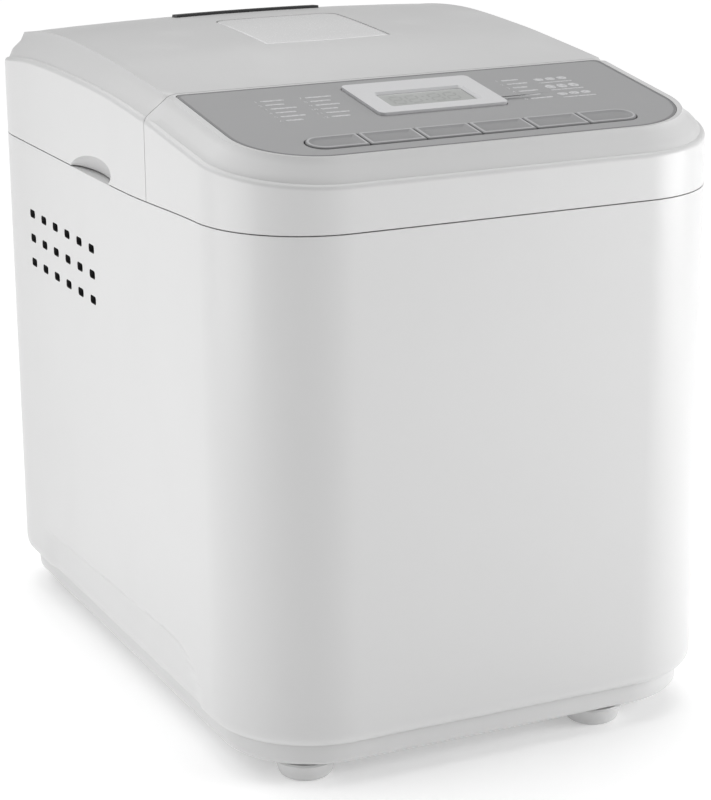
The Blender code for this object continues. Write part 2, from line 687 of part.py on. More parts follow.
def inner_glass():
    glass = prism("inner_glass", rounded((-0.034, 0.034), (0, 0.068), 0.006, 3), 0.2556, 0.2576)
    return finish(hang_on_lid(glass), (0.75, 0.78, 0.78), 0.05, smooth=False)


def hinge_ear_outline():
    wall = DEPTH / 2 + GAP
    ring = [(HINGE_Y + KNUCKLE_RADIUS * cos(a), HINGE_Z + KNUCKLE_RADIUS * sin(a)) for a in
            (-0.6 + (pi - 0.3) * k / 8 for k in range(9))]
    return ring + [(wall, HINGE_Z), (wall, 0.204)]


def hinge_fittings(side, word):
    bracket = box(f"hinge_bracket_{word}", (side * HINGE_X - 0.014, DEPTH / 2 + GAP, 0.200),
                  (side * HINGE_X + 0.014, DEPTH / 2 + GAP + 0.0022, 0.2200))
    offset = KNUCKLE_WIDTH / 2 + 0.0004
    for place, x in (("inner", side * HINGE_X - offset - EAR_WIDTH), ("outer", side * HINGE_X + offset)):
        join(bracket, side_view_plate(f"ear_{word}_{place}", hinge_ear_outline(), x, EAR_WIDTH))
    ends = [(side * HINGE_X - 0.013, HINGE_Y, HINGE_Z), (side * HINGE_X + 0.013, HINGE_Y, HINGE_Z)]
    cut(bracket, rod(f"ear_bore_{word}", PIN_RADIUS + GAP, *ends, steps=12))
    finish(bracket, WHITE, 0.4)
    ends = [(x * (1 - 0.0006 / 0.047), y, z) for x, y, z in ends]
    finish(rod(f"hinge_pin_{word}", PIN_RADIUS, *ends, steps=12), STEEL, 0.3, 1.0)


# ---------------------------------------------------------------- chamber and pan

def top_frame():
    """The deck round the chamber's mouth, between the shell's walls."""
    half_x, rear = WIDTH / 2 - WALL - GAP, DEPTH / 2 - WALL - GAP
    corner = CORNER - WALL - GAP
    outline = rounded((-half_x, half_x), (SEAM_Y + 0.002, rear), (0.002, 0.002, corner, corner))
    mouth = rounded((-0.0925, 0.0925), (CHAMBER_Y - 0.0845, CHAMBER_Y + 0.0845), 0.018)
    frame = plate("top_frame", [outline, mouth], DECK_Z, DECK_THICK)
    for notch in recess_shelves("frame_notch", GAP):
        cut(frame, notch)
    return finish(frame, (0.62, 0.62, 0.62), 0.4, smooth=False)


def baking_chamber():
    """The sheet-metal oven, with two clips on its floor that hold the element."""
    (half_x, half_y), inner = CHAMBER_HALF, SHEET
    rings = [
        tub_ring(half_x, half_y, 0.020, CHAMBER_Z, CHAMBER_Y), tub_ring(half_x, half_y, 0.020, CHAMBER_TOP, CHAMBER_Y),
        tub_ring(half_x - inner, half_y - inner, 0.0188, CHAMBER_TOP, CHAMBER_Y),
        tub_ring(half_x - inner, half_y - inner, 0.0188, CHAMBER_FLOOR, CHAMBER_Y),
    ]
    chamber = loft("baking_chamber", rings)
    for side in (-1, 1):
        x = side * ELEMENT_HALF[0]
        clip = box(f"element_clip_{side}", (x - 0.006, CHAMBER_Y - 0.005, CHAMBER_FLOOR - SHEET / 2),
                   (x + 0.006, CHAMBER_Y + 0.005, ELEMENT_Z))
        cut(clip, rod(f"clip_seat_{side}", ELEMENT_RADIUS + GAP, (x, CHAMBER_Y - 0.01, ELEMENT_Z),
                      (x, CHAMBER_Y + 0.01, ELEMENT_Z)))
        join(chamber, clip)
    cut(chamber, rod("chamber_shaft_hole", 0.0090, (0, CHAMBER_Y, 0.02), (0, CHAMBER_Y, 0.03)))
    cut_front_wires(chamber, "chamber", 0.0005)
    return finish(chamber, STEEL, 0.4, 1.0)


def cut_front_wires(piece, word, clearance):
    """Holes for the element's two terminals and the temperature probe, front to back."""
    for x, z, radius in ((-TERMINAL_X, ELEMENT_Z, ELEMENT_RADIUS), (TERMINAL_X, ELEMENT_Z, ELEMENT_RADIUS),
                         (PROBE_X, PROBE_Z, 0.003)):
        cut(piece, rod(f"{word}_hole_{x}", radius + clearance, (x, -0.052, z), (x, -0.030, z), steps=12))


def heat_shield():
    shield = box("heat_shield", (-0.096, SHIELD_Y, CHAMBER_Z), (0.096, SHIELD_Y + 0.001, 0.215))
    cut_front_wires(shield, "shield", 0.0015)
    return finish(shield, STEEL, 0.35, 1.0, smooth=False)


def heating_element():
    """A tubular loop low in the chamber whose two ends leave through the front."""
    (half_x, half_y), bend, turn_in = ELEMENT_HALF, 0.026, 0.010
    front, rear = CHAMBER_Y - half_y, CHAMBER_Y + half_y
    path = [(TERMINAL_X, SHIELD_Y - 0.008)]
    path += [(TERMINAL_X + turn_in * (1 - cos(a)), front - turn_in * (1 - sin(a)))
             for a in (pi / 2 * k / 4 for k in range(5))]
    path += corner_arc((half_x - bend, front + bend), bend, 1.5 * pi, 5)
    path += corner_arc((half_x - bend, rear - bend), bend, 0, 5)
    path += [(-x, y) for x, y in path[::-1]]
    curve = bpy.data.curves.new("heating_element", "CURVE")
    curve.dimensions = "3D"
    curve.bevel_depth = ELEMENT_RADIUS
    curve.bevel_resolution = 2
    curve.use_fill_caps = True
    spline = curve.splines.new("POLY")
    spline.points.add(len(path) - 1)
    for point, (x, y) in zip(spline.points, path):
        point.co = (x, y, ELEMENT_Z, 1)
    element = bpy.data.objects.new("heating_element", curve)
    PARTS.objects.link(element)
    element.parent = CASING
    made = finish(rod("element_colour", 0.001, (0, 0, 0), (0, 0, 0.001)), (0.25, 0.24, 0.23), 0.45, 1.0)
    curve.materials.append(made.data.materials[0])
    bpy.data.objects.remove(made)
    return element


def temperature_probe():
    probe = turned(
        "temperature_probe",
        ((0, 0.026), (0.0027, 0.026), (0.0027, 0.015), (0.0065, 0.015), (0.0065, 0.013), (0.0027, 0.013),
         (0.0027, 0), (0, 0)),
        at=(PROBE_X, -0.055, PROBE_Z), turn=(-pi / 2, 0, 0), steps=12,
    )
    return finish(probe, STEEL, 0.3, 1.0)


def pan_socket():
    socket = turned(
        "pan_socket",
        ((0.0370, CHAMBER_FLOOR + GAP + 0.015), (0.0400, CHAMBER_FLOOR + GAP + 0.015),
         (0.0400, CHAMBER_FLOOR + GAP + 0.002), (0.0470, CHAMBER_FLOOR + GAP + 0.002),
         (0.0470, CHAMBER_FLOOR + GAP), (0.0370, CHAMBER_FLOOR + GAP)),
        at=(0, CHAMBER_Y, 0),
    )
    return finish(socket, ALUMINIUM, 0.4, 1.0)


def bread_pan():
    outer = ((0.0650, 0.0490, 0.014, PAN_FLOOR), (0.0690, 0.0530, 0.017, PAN_FLOOR + 0.003),
             (0.0750, 0.0595, 0.022, PAN_RIM - 0.0022), (0.0775, 0.0620, 0.024, PAN_RIM - 0.0018),
             (0.0775, 0.0620, 0.024, PAN_RIM))
    inner = ((0.0736, 0.0581, 0.021, PAN_RIM), (0.0674, 0.0514, 0.016, PAN_FLOOR + 0.004),
             (0.0640, 0.0480, 0.013, PAN_FLOOR + 0.0016))
    pan = loft("bread_pan", [tub_ring(*ring, CHAMBER_Y) for ring in outer + inner])
    for side in (-1, 1):
        join(pan, rod(f"handle_stud_{side}", 0.0030, (side * 0.0740, CHAMBER_Y, HANDLE_Z),
                      (side * 0.0862, CHAMBER_Y, HANDLE_Z), steps=12))
    cut(pan, rod("pan_shaft_hole", 0.0063, (0, CHAMBER_Y, 0.040), (0, CHAMBER_Y, 0.052)))
    return finish(pan, (0.16, 0.16, 0.165), 0.4, 0.6)


def pan_base():
    """The cast ring under the pan that locks into the socket."""
    low, high = 0.0310, PAN_FLOOR - GAP
    base = turned(
        "pan_base",
        ((0.0063, high), (0.0362, high), (0.0362, low), (0.0325, low), (0.0325, high - 0.003), (0.0063, high - 0.003)),
        at=(0, CHAMBER_Y, 0),
    )
    return finish(base, ALUMINIUM, 0.4, 1.0)


def pan_bush():
    bush = turned(
        "pan_bush",
        ((SHAFT_RADIUS + GAP, 0.0500), (0.0090, 0.0500), (0.0090, 0.0479), (0.0060, 0.0479), (0.0060, 0.0400),
         (SHAFT_RADIUS + GAP, 0.0400)),
        at=(0, CHAMBER_Y, 0),
    )
    return finish(bush, BRONZE, 0.35, 1.0)


def pan_handle():
    """A wire bail with an eye at each end, lying forward beside the pan's rim."""
    pivot = empty("pan_handle_pivot", (0, CHAMBER_Y, HANDLE_Z), CASING)
    bend = 0.014
    half = [(HANDLE_X, -0.0030), (HANDLE_X, -HANDLE_ARM + bend)]
    half += [(HANDLE_X - bend * (1 - cos(a)), -HANDLE_ARM + bend - bend * sin(a))
             for a in (pi / 2 * k / 5 for k in range(1, 6))]
    path = half + [(-x, y) for x, y in half[::-1]]
    curve = bpy.data.curves.new("pan_handle_wire", "CURVE")
    curve.dimensions = "3D"
    curve.bevel_depth = 0.0020
    curve.bevel_resolution = 2
    curve.use_fill_caps = True
    spline = curve.splines.new("POLY")
    spline.points.add(len(path) - 1)
    for point, (x, y) in zip(spline.points, path):
        point.co = (x, y, 0, 1)
    drawn = bpy.data.objects.new("pan_handle_wire", curve)
    bpy.context.scene.collection.objects.link(drawn)
    mesh = bpy.data.meshes.new_from_object(drawn.evaluated_get(bpy.context.evaluated_depsgraph_get()))
    bpy.data.objects.remove(drawn)
    work = bmesh.new()
    work.from_mesh(mesh)
    bmesh.ops.remove_doubles(work, verts=work.verts, dist=0.000001)
    handle = from_bmesh("pan_handle", work, pivot)
    for side in (-1, 1):
        ends = [(side * (HANDLE_X - 0.0022), 0, 0), (side * (HANDLE_X + 0.0022), 0, 0)]
        join(handle, rod(f"handle_eye_{side}", 0.0058, *ends, pivot, 20))
    for side in (-1, 1):
        cut(handle, rod(f"handle_eye_bore_{side}", 0.0030 + GAP, (side * 0.070, 0, 0), (side * 0.095, 0, 0), pivot, 16))
    return finish(handle, STEEL, 0.25, 1.0)


def pan_shaft():
    turning = empty("kneader_axis", (0, CHAMBER_Y, 0), CASING)
    shaft = rod("pan_shaft", SHAFT_RADIUS, (0, 0, 0.0340), (0, 0, 0.0660), turning)
    join(shaft, box("shaft_wing", (-0.0130, -0.0025, 0.0325), (0.0130, 0.0025, 0.0365), turning))
    finish(shaft, STEEL, 0.25, 1.0)
    paddle = turned(
        "kneading_paddle",
        ((SHAFT_RADIUS + GAP, 0.0700), (0.0072, 0.0700), (0.0095, 0.0520), (SHAFT_RADIUS + GAP, 0.0520)),
        turning,
    )
    blade = side_view_plate("paddle_blade", [(0.0065, 0.0525), (0.0360, 0.0535), (0.0390, 0.0600),
                                             (0.0330, 0.0780), (0.0220, 0.0870), (0.0065, 0.0690)], -0.0018, 0.0036)
    blade.parent = turning
    blade.location = (0, 0, 0)
    join(paddle, blade)
    return finish(paddle, (0.14, 0.14, 0.145), 0.4, 0.5)


# ---------------------------------------------------------------- drive and electrics

def chassis_plate():
    outline = casing_outline(0.0135)
    holes = [circle(0.0088, (0, CHAMBER_Y)), circle(0.0050, MOTOR_AT)]
    chassis = plate("chassis_plate", [outline] + holes, CHASSIS_Z, CHASSIS_THICK)
    for word, (x, y) in FEET.items():
        join(chassis, rod(f"chassis_post_{word}", 0.0050, (x, y, TRAY_BOTTOM + 0.0028 + GAP),
                          (x, y, CHASSIS_Z + 0.0006), steps=12))
    for word, (x, y) in FEET.items():
        cut(chassis, rod(f"post_bore_{word}", 0.0023, (x, y, 0.005), (x, y, 0.022), steps=12))
    return finish(chassis, STEEL, 0.4, 1.0, smooth=False)


def output_drive():
    bearing = turned(
        "output_bearing",
        ((SHAFT_RADIUS + GAP, 0.0281), (0.0084, 0.0281), (0.0084, CHASSIS_Z - GAP), (0.0135, CHASSIS_Z - GAP),
         (0.0135, 0.0220), (SHAFT_RADIUS + GAP, 0.0220)),
        at=(0, CHAMBER_Y, 0),
    )
    finish(bearing, BRONZE, 0.35, 1.0)
    axis = empty("drive_axis", (0, CHAMBER_Y, 0), CASING)
    shaft = rod("output_shaft", SHAFT_RADIUS, (0, 0, 0.0118), (0, 0, 0.0300), axis)
    join(shaft, rod("coupler_disc", 0.0170, (0, 0, 0.0287), (0, 0, 0.0313), axis, 20))
    for side in (-1, 1):
        low, high = (side * 0.0085, side * 0.0034, 0.0305), (side * 0.0140, side * 0.0085, 0.0370)
        corners = [[min(a, b) for a, b in zip(low, high)], [max(a, b) for a, b in zip(low, high)]]
        join(shaft, box(f"coupler_dog_{side}", *corners, axis))
    finish(shaft, STEEL, 0.3, 1.0)
    finish(pulley("driven_pulley", DRIVEN_PULLEY_RADIUS, SHAFT_RADIUS, 0.010, axis), DARK, 0.45)


def pulley(name, radius, bore, hub, parent):
    """A flanged belt pulley; a wide one has a thin web between hub and rim."""
    low, high = PULLEY_Z
    flange, lip = radius + 0.0022, 0.0009
    profile = [(bore + GAP, high)]
    if radius > 2 * hub:
        web_high, web_low = high - 0.0025, low + 0.0025
        profile += [(hub, high), (hub, web_high), (radius - 0.004, web_high), (radius - 0.004, high)]
    profile += [(flange, high), (flange, high - lip), (radius, high - lip), (radius, low + lip),
                (flange, low + lip), (flange, low)]
    if radius > 2 * hub:
        profile += [(radius - 0.004, low), (radius - 0.004, web_low), (hub, web_low), (hub, low)]
    profile += [(bore + GAP, low)]
    return turned(name, profile, parent)


def belt_loop(radius_near, radius_far, near, far):
    """The outline of a belt round two pulleys: two arcs joined by their outer tangents."""
    reach = Vector(far) - Vector(near)
    heading = Vector((1, 0)).angle_signed(reach) * -1
    lean = acos((radius_near - radius_far) / reach.length)
    points = []
    for centre, radius, first, last in (
        (near, radius_near, heading + lean, heading + 2 * pi - lean),
        (far, radius_far, heading - lean, heading + lean),
    ):
        points += [(centre[0] + radius * cos(first + (last - first) * k / 16),
                    centre[1] + radius * sin(first + (last - first) * k / 16)) for k in range(17)]
    return points


def drive_belt():
    centres = ((0, CHAMBER_Y), MOTOR_AT)
    loops = [
        belt_loop(DRIVEN_PULLEY_RADIUS + GAP + extra, MOTOR_PULLEY_RADIUS + GAP + extra, *centres)
        for extra in (BELT_THICK, 0)
    ]
    low, high = PULLEY_Z
    belt = plate("drive_belt", loops, low + 0.0012, high - low - 0.0024)
    return finish(belt, DARK, 0.7, smooth=False)


def motor():
    x, y = MOTOR_AT
    block = rounded((x - 0.035, x + 0.035), (y - 0.029, y + 0.029), 0.004, 2)
    stator = plate("motor_stator", [block, circle(ROTOR_RADIUS + 0.0009, MOTOR_AT, 20)],
                   STATOR_Z[0], STATOR_Z[1] - STATOR_Z[0])
    finish(stator, STEEL, 0.5, 1.0, smooth=False)
    for word, low in (("lower", STATOR_Z[0] - 0.0103), ("upper", STATOR_Z[1] + GAP)):
        winding = turned(
            f"motor_winding_{word}",
            ((0.0195, low + 0.010), (0.0255, low + 0.010), (0.0275, low + 0.008), (0.0275, low + 0.002),
             (0.0255, low), (0.0195, low)),
            at=(x, y, 0),
        )
        finish(winding, COPPER, 0.4, 0.8)
    for word, low in (("lower", 0.0470), ("upper", 0.1010)):
        bracket = plate(f"motor_bracket_{word}", [rounded((x - 0.034, x + 0.034), (y - 0.028, y + 0.028), 0.004, 2),
                                                  circle(MOTOR_SHAFT_RADIUS + GAP, MOTOR_AT, 16)], low, 0.0025)
        for side_x in (-1, 1):
            for side_y in (-1, 1):
                post = (x + side_x * 0.029, y + side_y * 0.0235)
                spans = ((CHAMBER_Z, low + 0.001), (low + 0.0015, STATOR_Z[0] - GAP)) if word == "lower" \
                    else ((STATOR_Z[1] + GAP, low + 0.001),)
                for k, (start, end) in enumerate(spans):
                    join(bracket, box(f"post_{word}_{side_x}_{side_y}_{k}", (post[0] - 0.0035, post[1] - 0.0035, start),
                                      (post[0] + 0.0035, post[1] + 0.0035, end)))
        finish(bracket, ALUMINIUM, 0.4, 1.0, smooth=False)
    axis = empty("motor_axis", (x, y, 0), CASING)
    shaft = rod("motor_rotor", MOTOR_SHAFT_RADIUS, (0, 0, 0.0120), (0, 0, 0.1220), axis, 16)
    join(shaft, rod("rotor_core", ROTOR_RADIUS, (0, 0, STATOR_Z[0] - 0.001), (0, 0, STATOR_Z[1] + 0.001), axis, 20))
    finish(shaft, STEEL, 0.35, 1.0)
    finish(pulley("motor_pulley", MOTOR_PULLEY_RADIUS, MOTOR_SHAFT_RADIUS, 0.005, axis), ALUMINIUM, 0.35, 1.0)
    finish(cooling_fan(axis), (0.75, 0.75, 0.74), 0.45)


def cooling_fan(axis):
    bore = MOTOR_SHAFT_RADIUS + GAP
    fan = turned("cooling_fan", ((bore, 0.1180), (0.0070, 0.1180), (0.0070, 0.1085), (bore, 0.1085)), axis)
    for k in range(6):
        blade = box(f"fan_blade_{k}", (0.0060, -0.0008, 0.1095), (0.0270, 0.0008, 0.1170), axis)
        blade.rotation_euler = (0, 0, pi / 3 * k)
        join(fan, blade)
    return fan


def run_capacitor():
    can = turned(
        "run_capacitor",
        ((0, 0.078), (0.0030, 0.078), (0.0030, 0.073), (0.0135, 0.073), (0.0150, 0.0715), (0.0150, CHAMBER_Z),
         (0, CHAMBER_Z)),
        at=(0.040, -0.112, 0),
    )
    return finish(can, ALUMINIUM, 0.35, 1.0)


def power_board():
    """The upright supply board, with its relay, fuse and smoothing capacitor."""
    x = 0.0720
    board = box("power_board", (x, -0.128, CHAMBER_Z), (x + 0.0016, -0.056, 0.150))
    join(board, box("relay", (x - 0.0155, -0.100, 0.110), (x + 0.0005, -0.080, 0.126)))
    join(board, box("fuse", (x - 0.0060, -0.076, 0.085), (x + 0.0005, -0.070, 0.107)))
    join(board, rod("smoothing_capacitor", 0.0065, (x + 0.0005, -0.070, 0.135), (x - 0.0180, -0.070, 0.135), steps=12))
    return finish(board, (0.05, 0.22, 0.10), 0.5, smooth=False)


def cord_gland():
    gland = turned(
        "cord_gland",
        ((0.0040, 0.0125), (0.0070, 0.0125), (0.0105, 0.0105), (0.0105, 0.0085), (0.0077, 0.0085), (0.0077, 0),
         (0.0040, 0)),
        at=(-0.060, DEPTH / 2 - 0.0082, 0.050), turn=(-pi / 2, 0, 0),
    )
    return finish(gland, DARK, 0.5)


def build():
    body_shell()
    base_tray()
    for word, at in FEET.items():
        foot_and_screw(word, at)
    control_cover()
    control_panel()
    display()
    control_board()
    for index in range(BUTTON_COUNT):
        button(index)
    lid_shell()
    lid_window()
    steam_vent()
    lid_liner()
    inner_glass()
    for side, word in ((-1, "left"), (1, "right")):
        hinge_fittings(side, word)
    top_frame()
    baking_chamber()
    heat_shield()
    heating_element()
    temperature_probe()
    pan_socket()
    bread_pan()
    pan_base()
    pan_bush()
    pan_handle()
    pan_shaft()
    chassis_plate()
    output_drive()
    drive_belt()
    motor()
    run_capacitor()
    power_board()
    cord_gland()


build()
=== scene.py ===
import json
from math import cos, hypot, pi, radians, sin

import bmesh
import bpy
from mathutils import Matrix, Vector

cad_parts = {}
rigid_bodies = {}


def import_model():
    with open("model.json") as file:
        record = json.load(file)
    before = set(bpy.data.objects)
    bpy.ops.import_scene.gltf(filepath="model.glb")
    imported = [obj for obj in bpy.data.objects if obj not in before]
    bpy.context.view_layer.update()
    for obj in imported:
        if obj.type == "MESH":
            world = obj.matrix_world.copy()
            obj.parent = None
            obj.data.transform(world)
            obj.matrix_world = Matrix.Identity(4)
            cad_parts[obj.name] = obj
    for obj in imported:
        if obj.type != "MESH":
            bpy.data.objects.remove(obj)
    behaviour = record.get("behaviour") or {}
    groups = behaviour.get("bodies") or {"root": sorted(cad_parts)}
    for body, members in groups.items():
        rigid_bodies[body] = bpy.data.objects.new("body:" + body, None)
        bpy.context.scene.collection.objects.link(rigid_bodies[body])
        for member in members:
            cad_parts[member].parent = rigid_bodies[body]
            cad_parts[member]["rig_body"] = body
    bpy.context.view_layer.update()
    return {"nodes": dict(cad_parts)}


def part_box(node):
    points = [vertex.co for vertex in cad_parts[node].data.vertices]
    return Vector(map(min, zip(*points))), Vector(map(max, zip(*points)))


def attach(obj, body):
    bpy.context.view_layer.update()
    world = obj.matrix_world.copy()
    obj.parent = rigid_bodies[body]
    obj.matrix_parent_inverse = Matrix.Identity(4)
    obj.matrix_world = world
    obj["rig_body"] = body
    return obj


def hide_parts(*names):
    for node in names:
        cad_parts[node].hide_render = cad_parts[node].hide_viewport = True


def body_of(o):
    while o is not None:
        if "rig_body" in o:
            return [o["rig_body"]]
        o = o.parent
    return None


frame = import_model()
print("frame loaded with", len(frame["nodes"]), "nodes")

# Plan positions of the casing are measured from its middle, which the frame gives.
shellLow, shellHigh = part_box("body_shell")
halfX = shellHigh.x
halfY = (shellHigh.y - shellLow.y) / 2
middleY = (shellHigh.y + shellLow.y) / 2
casingPlace = Matrix.Translation((0, middleY, 0))

casing = {
    "corner": 0.046,  # radius of the upright corners
    "cornerSteps": 20,
    "wall": 0.0026,
    "baseRounding": 0.0060,
    "chamfer": 0.012,  # width of the slope round the top
    "chamferRounding": 0.0022,
    "crown": 0.0025,  # rise of the lid's middle over its sides
    "crownRun": 0.070,
    "crownStations": (0.015, 0.035, 0.055),
    "partingGap": 0.0005,
    "seamY": -0.060,
    "seamGap": 0.0005,
    "edgeRounding": 0.00035,
    "coverFoot": 0.20,  # heights of the blocks that the covers are shaped from
    "coverCrest": 0.26,
    "coverInsets": (0.004, 0.004, 0.004, 0.008, 0.014),  # rings round the top, from its edge inwards
    "reliefBand": (0.0245, 0.0485),  # finely sliced part of the wall
    "upperBand": (0.0560, 0.2200),
    "glandPlace": (-0.060, 0.16, 0.050),
    "glandRadius": 0.008,
}

# Heights, as (y, z) points: the lower edge of the slope round the top, the lid, and the parting line.
chamferLine = (
    (-0.1625, 0.2498), (-0.125, 0.2545), (-0.085, 0.2595), (-0.058, 0.2628),
    (-0.002, 0.2668), (0.081, 0.2672), (0.125, 0.2632), (0.1625, 0.2570),
)
lidLine = (
    (-0.061, 0.2717), (-0.028, 0.2746), (0.009, 0.2775),
    (0.064, 0.2796), (0.100, 0.2776), (0.130, 0.2732), (0.1625, 0.2660),
)
partingLine = (
    (-0.125, 0.2305), (-0.106, 0.2301), (-0.087, 0.2294), (-0.063, 0.2283),
    (-0.040, 0.2275), (-0.005, 0.2272), (0.030, 0.2272),
)
lidRim = partingLine[-1][1]

panel = {
    "slope": radians(8.1), "middleY": -0.106, "halfX": 0.0998, "front": -0.0452, "rear": 0.0447,
    "corner": 0.033, "rearCorner": 0.003, "recess": 0.0016, "gap": 0.0003,
    "borderHeight": 0.00006, "borderMargins": (0.0002, 0.0011),
    "bezelSize": (0.059, 0.0394), "bezelV": 0.0157, "bezelRise": 0.0012, "bezelCorner": 0.0026,
    "openingSize": (0.047, 0.027),
    "windowSize": (0.039, 0.0168), "windowV": 0.0129,
    "keyCount": 6, "keyPitch": 0.0247, "keyDepth": 0.0142, "keyV": -0.0298, "keyGap": 0.0006,
    "keyRise": 0.0006,
}

print("camera, light and floor")

view = {
    "place": (-0.4661, -1.0120, 0.4402), "lens": 112.44, "sensor": 36.0,
    "towards": (0.41006, 0.86695, -0.28328), "roll": radians(-0.487),
}


def addCamera():
    data = bpy.data.cameras.new("camera")
    data.lens = view["lens"]
    data.sensor_width = view["sensor"]
    data.clip_start = 0.01
    camera = bpy.data.objects.new("camera", data)
    bpy.context.scene.collection.objects.link(camera)
    turn = Vector(view["towards"]).to_track_quat("-Z", "Y").to_matrix().to_4x4()
    camera.matrix_world = Matrix.Translation(view["place"]) @ turn @ Matrix.Rotation(view["roll"], 4, "Z")
    bpy.context.scene.camera = camera


softboxes = {
    # name: (place, aimed at, width, height, power)
    "softbox_left": ((-0.43, -0.07, 0.22), (-0.11, -0.05, 0.17), 0.30, 0.30, 0.40),
    "softbox_right": ((0.75, -0.55, 0.30), (0.05, 0, 0.15), 0.50, 0.50, 4.1),
}
studio = {"sky": 0.29, "overhead": 2.00, "overheadSpread": radians(80), "overheadLean": radians(-24)}


def addLights():
    for name, (place, aim, width, height, power) in softboxes.items():
        data = bpy.data.lights.new(name, "AREA")
        data.shape = "RECTANGLE"
        data.size = width
        data.size_y = height
        data.energy = power
        light = bpy.data.objects.new(name, data)
        bpy.context.scene.collection.objects.link(light)
        turn = (Vector(aim) - Vector(place)).to_track_quat("-Z", "Y").to_matrix().to_4x4()
        light.matrix_world = Matrix.Translation(place) @ turn
    ceiling = bpy.data.lights.new("overhead", "SUN")
    ceiling.energy = studio["overhead"]
    ceiling.angle = studio["overheadSpread"]
    sun = bpy.data.objects.new("overhead", ceiling)
    sun.matrix_world = Matrix.Rotation(studio["overheadLean"], 4, "X")
    bpy.context.scene.collection.objects.link(sun)
    world = bpy.data.worlds.new("studio")
    world.use_nodes = True
    world.node_tree.nodes["Background"].inputs["Color"].default_value = (1, 1, 1, 1)
    world.node_tree.nodes["Background"].inputs["Strength"].default_value = studio["sky"]
    bpy.context.scene.world = world
    bpy.context.scene.view_settings.view_transform = "Standard"


class Wire:
    # One socket of a finish. Arithmetic on it adds Math nodes.
    def __init__(self, finish, socket):
        self.finish = finish
        self.socket = socket

    def math(self, operation, first, second):
        return self.finish.node("ShaderNodeMath", {"operation": operation}, {0: first, 1: second})

    def __add__(self, other):
        return self.math("ADD", self, other)

    def __radd__(self, other):
        return self.math("ADD", other, self)

    def __sub__(self, other):
        return self.math("SUBTRACT", self, other)

    def __rsub__(self, other):
        return self.math("SUBTRACT", other, self)

    def __mul__(self, other):
        return self.math("MULTIPLY", self, other)

    def __rmul__(self, other):
        return self.math("MULTIPLY", other, self)


class Finish:
    # A material built round one Principled shader. Constants go on the shader's own sockets.
    def __init__(self, name, colour, roughness, metallic=0.0, **constants):
        self.material = bpy.data.materials.new(name)
        self.material.use_nodes = True
        self.tree = self.material.node_tree
        self.shader = self.tree.nodes["Principled BSDF"]
        self.shader.inputs["Base Color"].default_value = (*colour, 1)
        self.shader.inputs["Roughness"].default_value = roughness
        self.shader.inputs["Metallic"].default_value = metallic
        for socket, value in constants.items():
            self.shader.inputs[socket.replace("_", " ")].default_value = value
        self.place = self.node("ShaderNodeTexCoord", {}, {}, "Object")

    def node(self, kind, settings, values, output=0):
        made = self.tree.nodes.new(kind)
        for key, value in settings.items():
            if key == "stops":
                while len(made.color_ramp.elements) < len(value):
                    made.color_ramp.elements.new(1.0)
                for element, (at, shade) in zip(made.color_ramp.elements, value):
                    element.position = at
                    element.color = (shade, shade, shade, 1)
            else:
                setattr(made, key, value)
        for key, value in values.items():
            if isinstance(value, Wire):
                self.tree.links.new(value.socket, made.inputs[key])
            else:
                made.inputs[key].default_value = value
        return Wire(self, made.outputs[output])

    def noise(self, scale, detail=2.0, stretch=(1, 1, 1)):
        moved = self.node("ShaderNodeMapping", {}, {"Vector": self.place, "Scale": stretch})
        return self.node("ShaderNodeTexNoise", {}, {"Vector": moved, "Scale": scale, "Detail": detail}, "Fac")

    def ramp(self, wire, stops):
        return self.node("ShaderNodeValToRGB", {"stops": stops}, {"Fac": wire})

    def blend(self, share, first, second):
        # first where share is 0, second where it is 1; either is a colour or a wire
        colours = [value if isinstance(value, Wire) else (*value[:3], 1) for value in (first, second)]
        return self.node("ShaderNodeMix", {"data_type": "RGBA"}, {0: share, 6: colours[0], 7: colours[1]}, 2)

    def feed(self, socket, wire):
        self.tree.links.new(wire.socket, self.shader.inputs[socket])

    def relief(self, wire, depth):
        values = {"Height": wire, "Distance": depth, "Strength": 1.0}
        self.feed("Normal", self.node("ShaderNodeBump", {}, values))


def mouldedPlastic(name, colour, roughness, grain=0.00002):
    # moulded plastic: a fine grain, slow changes of gloss and faint handling marks
    made = Finish(name, colour, roughness)
    cloudy = made.noise(14.0, 3.0)
    handled = made.ramp(made.noise(38.0, 4.0, (1, 1, 0.35)), ((0.52, 0.0), (0.72, 1.0)))
    made.feed("Roughness", roughness - 0.03 + 0.06 * cloudy + 0.05 * handled)
    darker = [channel * 0.965 for channel in colour]
    made.feed("Base Color", made.blend(cloudy * 0.7, colour, darker))
    made.relief(made.noise(2600.0, 1.0) + 0.6 * made.noise(420.0, 1.0), grain)
    return made


def sheetMetal(name, colour, roughness, stretch, stain=0.0):
    # rolled or brushed metal: streaks along the grain, with stain browning it by heat
    made = Finish(name, colour, roughness, 1.0)
    streak = made.noise(160.0, 3.0, stretch)
    cloudy = made.noise(22.0, 3.0)
    made.feed("Roughness", roughness - 0.09 + 0.12 * streak + 0.08 * cloudy)
    dull = [channel * 0.82 for channel in colour]
    tone = made.blend(streak * 0.8, colour, dull)
    if stain:
        burnt = (colour[0] * 0.62, colour[1] * 0.50, colour[2] * 0.36)
        tone = made.blend(made.ramp(cloudy, ((0.50, 0.0), (0.75, stain))), tone, burnt)
    made.feed("Base Color", tone)
    made.relief(streak, 0.00002)
    return made


def castMetal(name, colour, roughness):
    # cast or sintered metal: a sandy surface with small dark pits
    made = Finish(name, colour, roughness, 1.0)
    sandy = made.noise(900.0, 3.0)
    pits = made.ramp(made.noise(330.0, 2.0), ((0.60, 0.0), (0.70, 1.0)))
    made.feed("Roughness", roughness - 0.05 + 0.14 * sandy)
    made.feed("Base Color", made.blend(pits * 0.6, colour, [channel * 0.55 for channel in colour]))
    made.relief(sandy - 0.5 * pits, 0.00006)
    return made


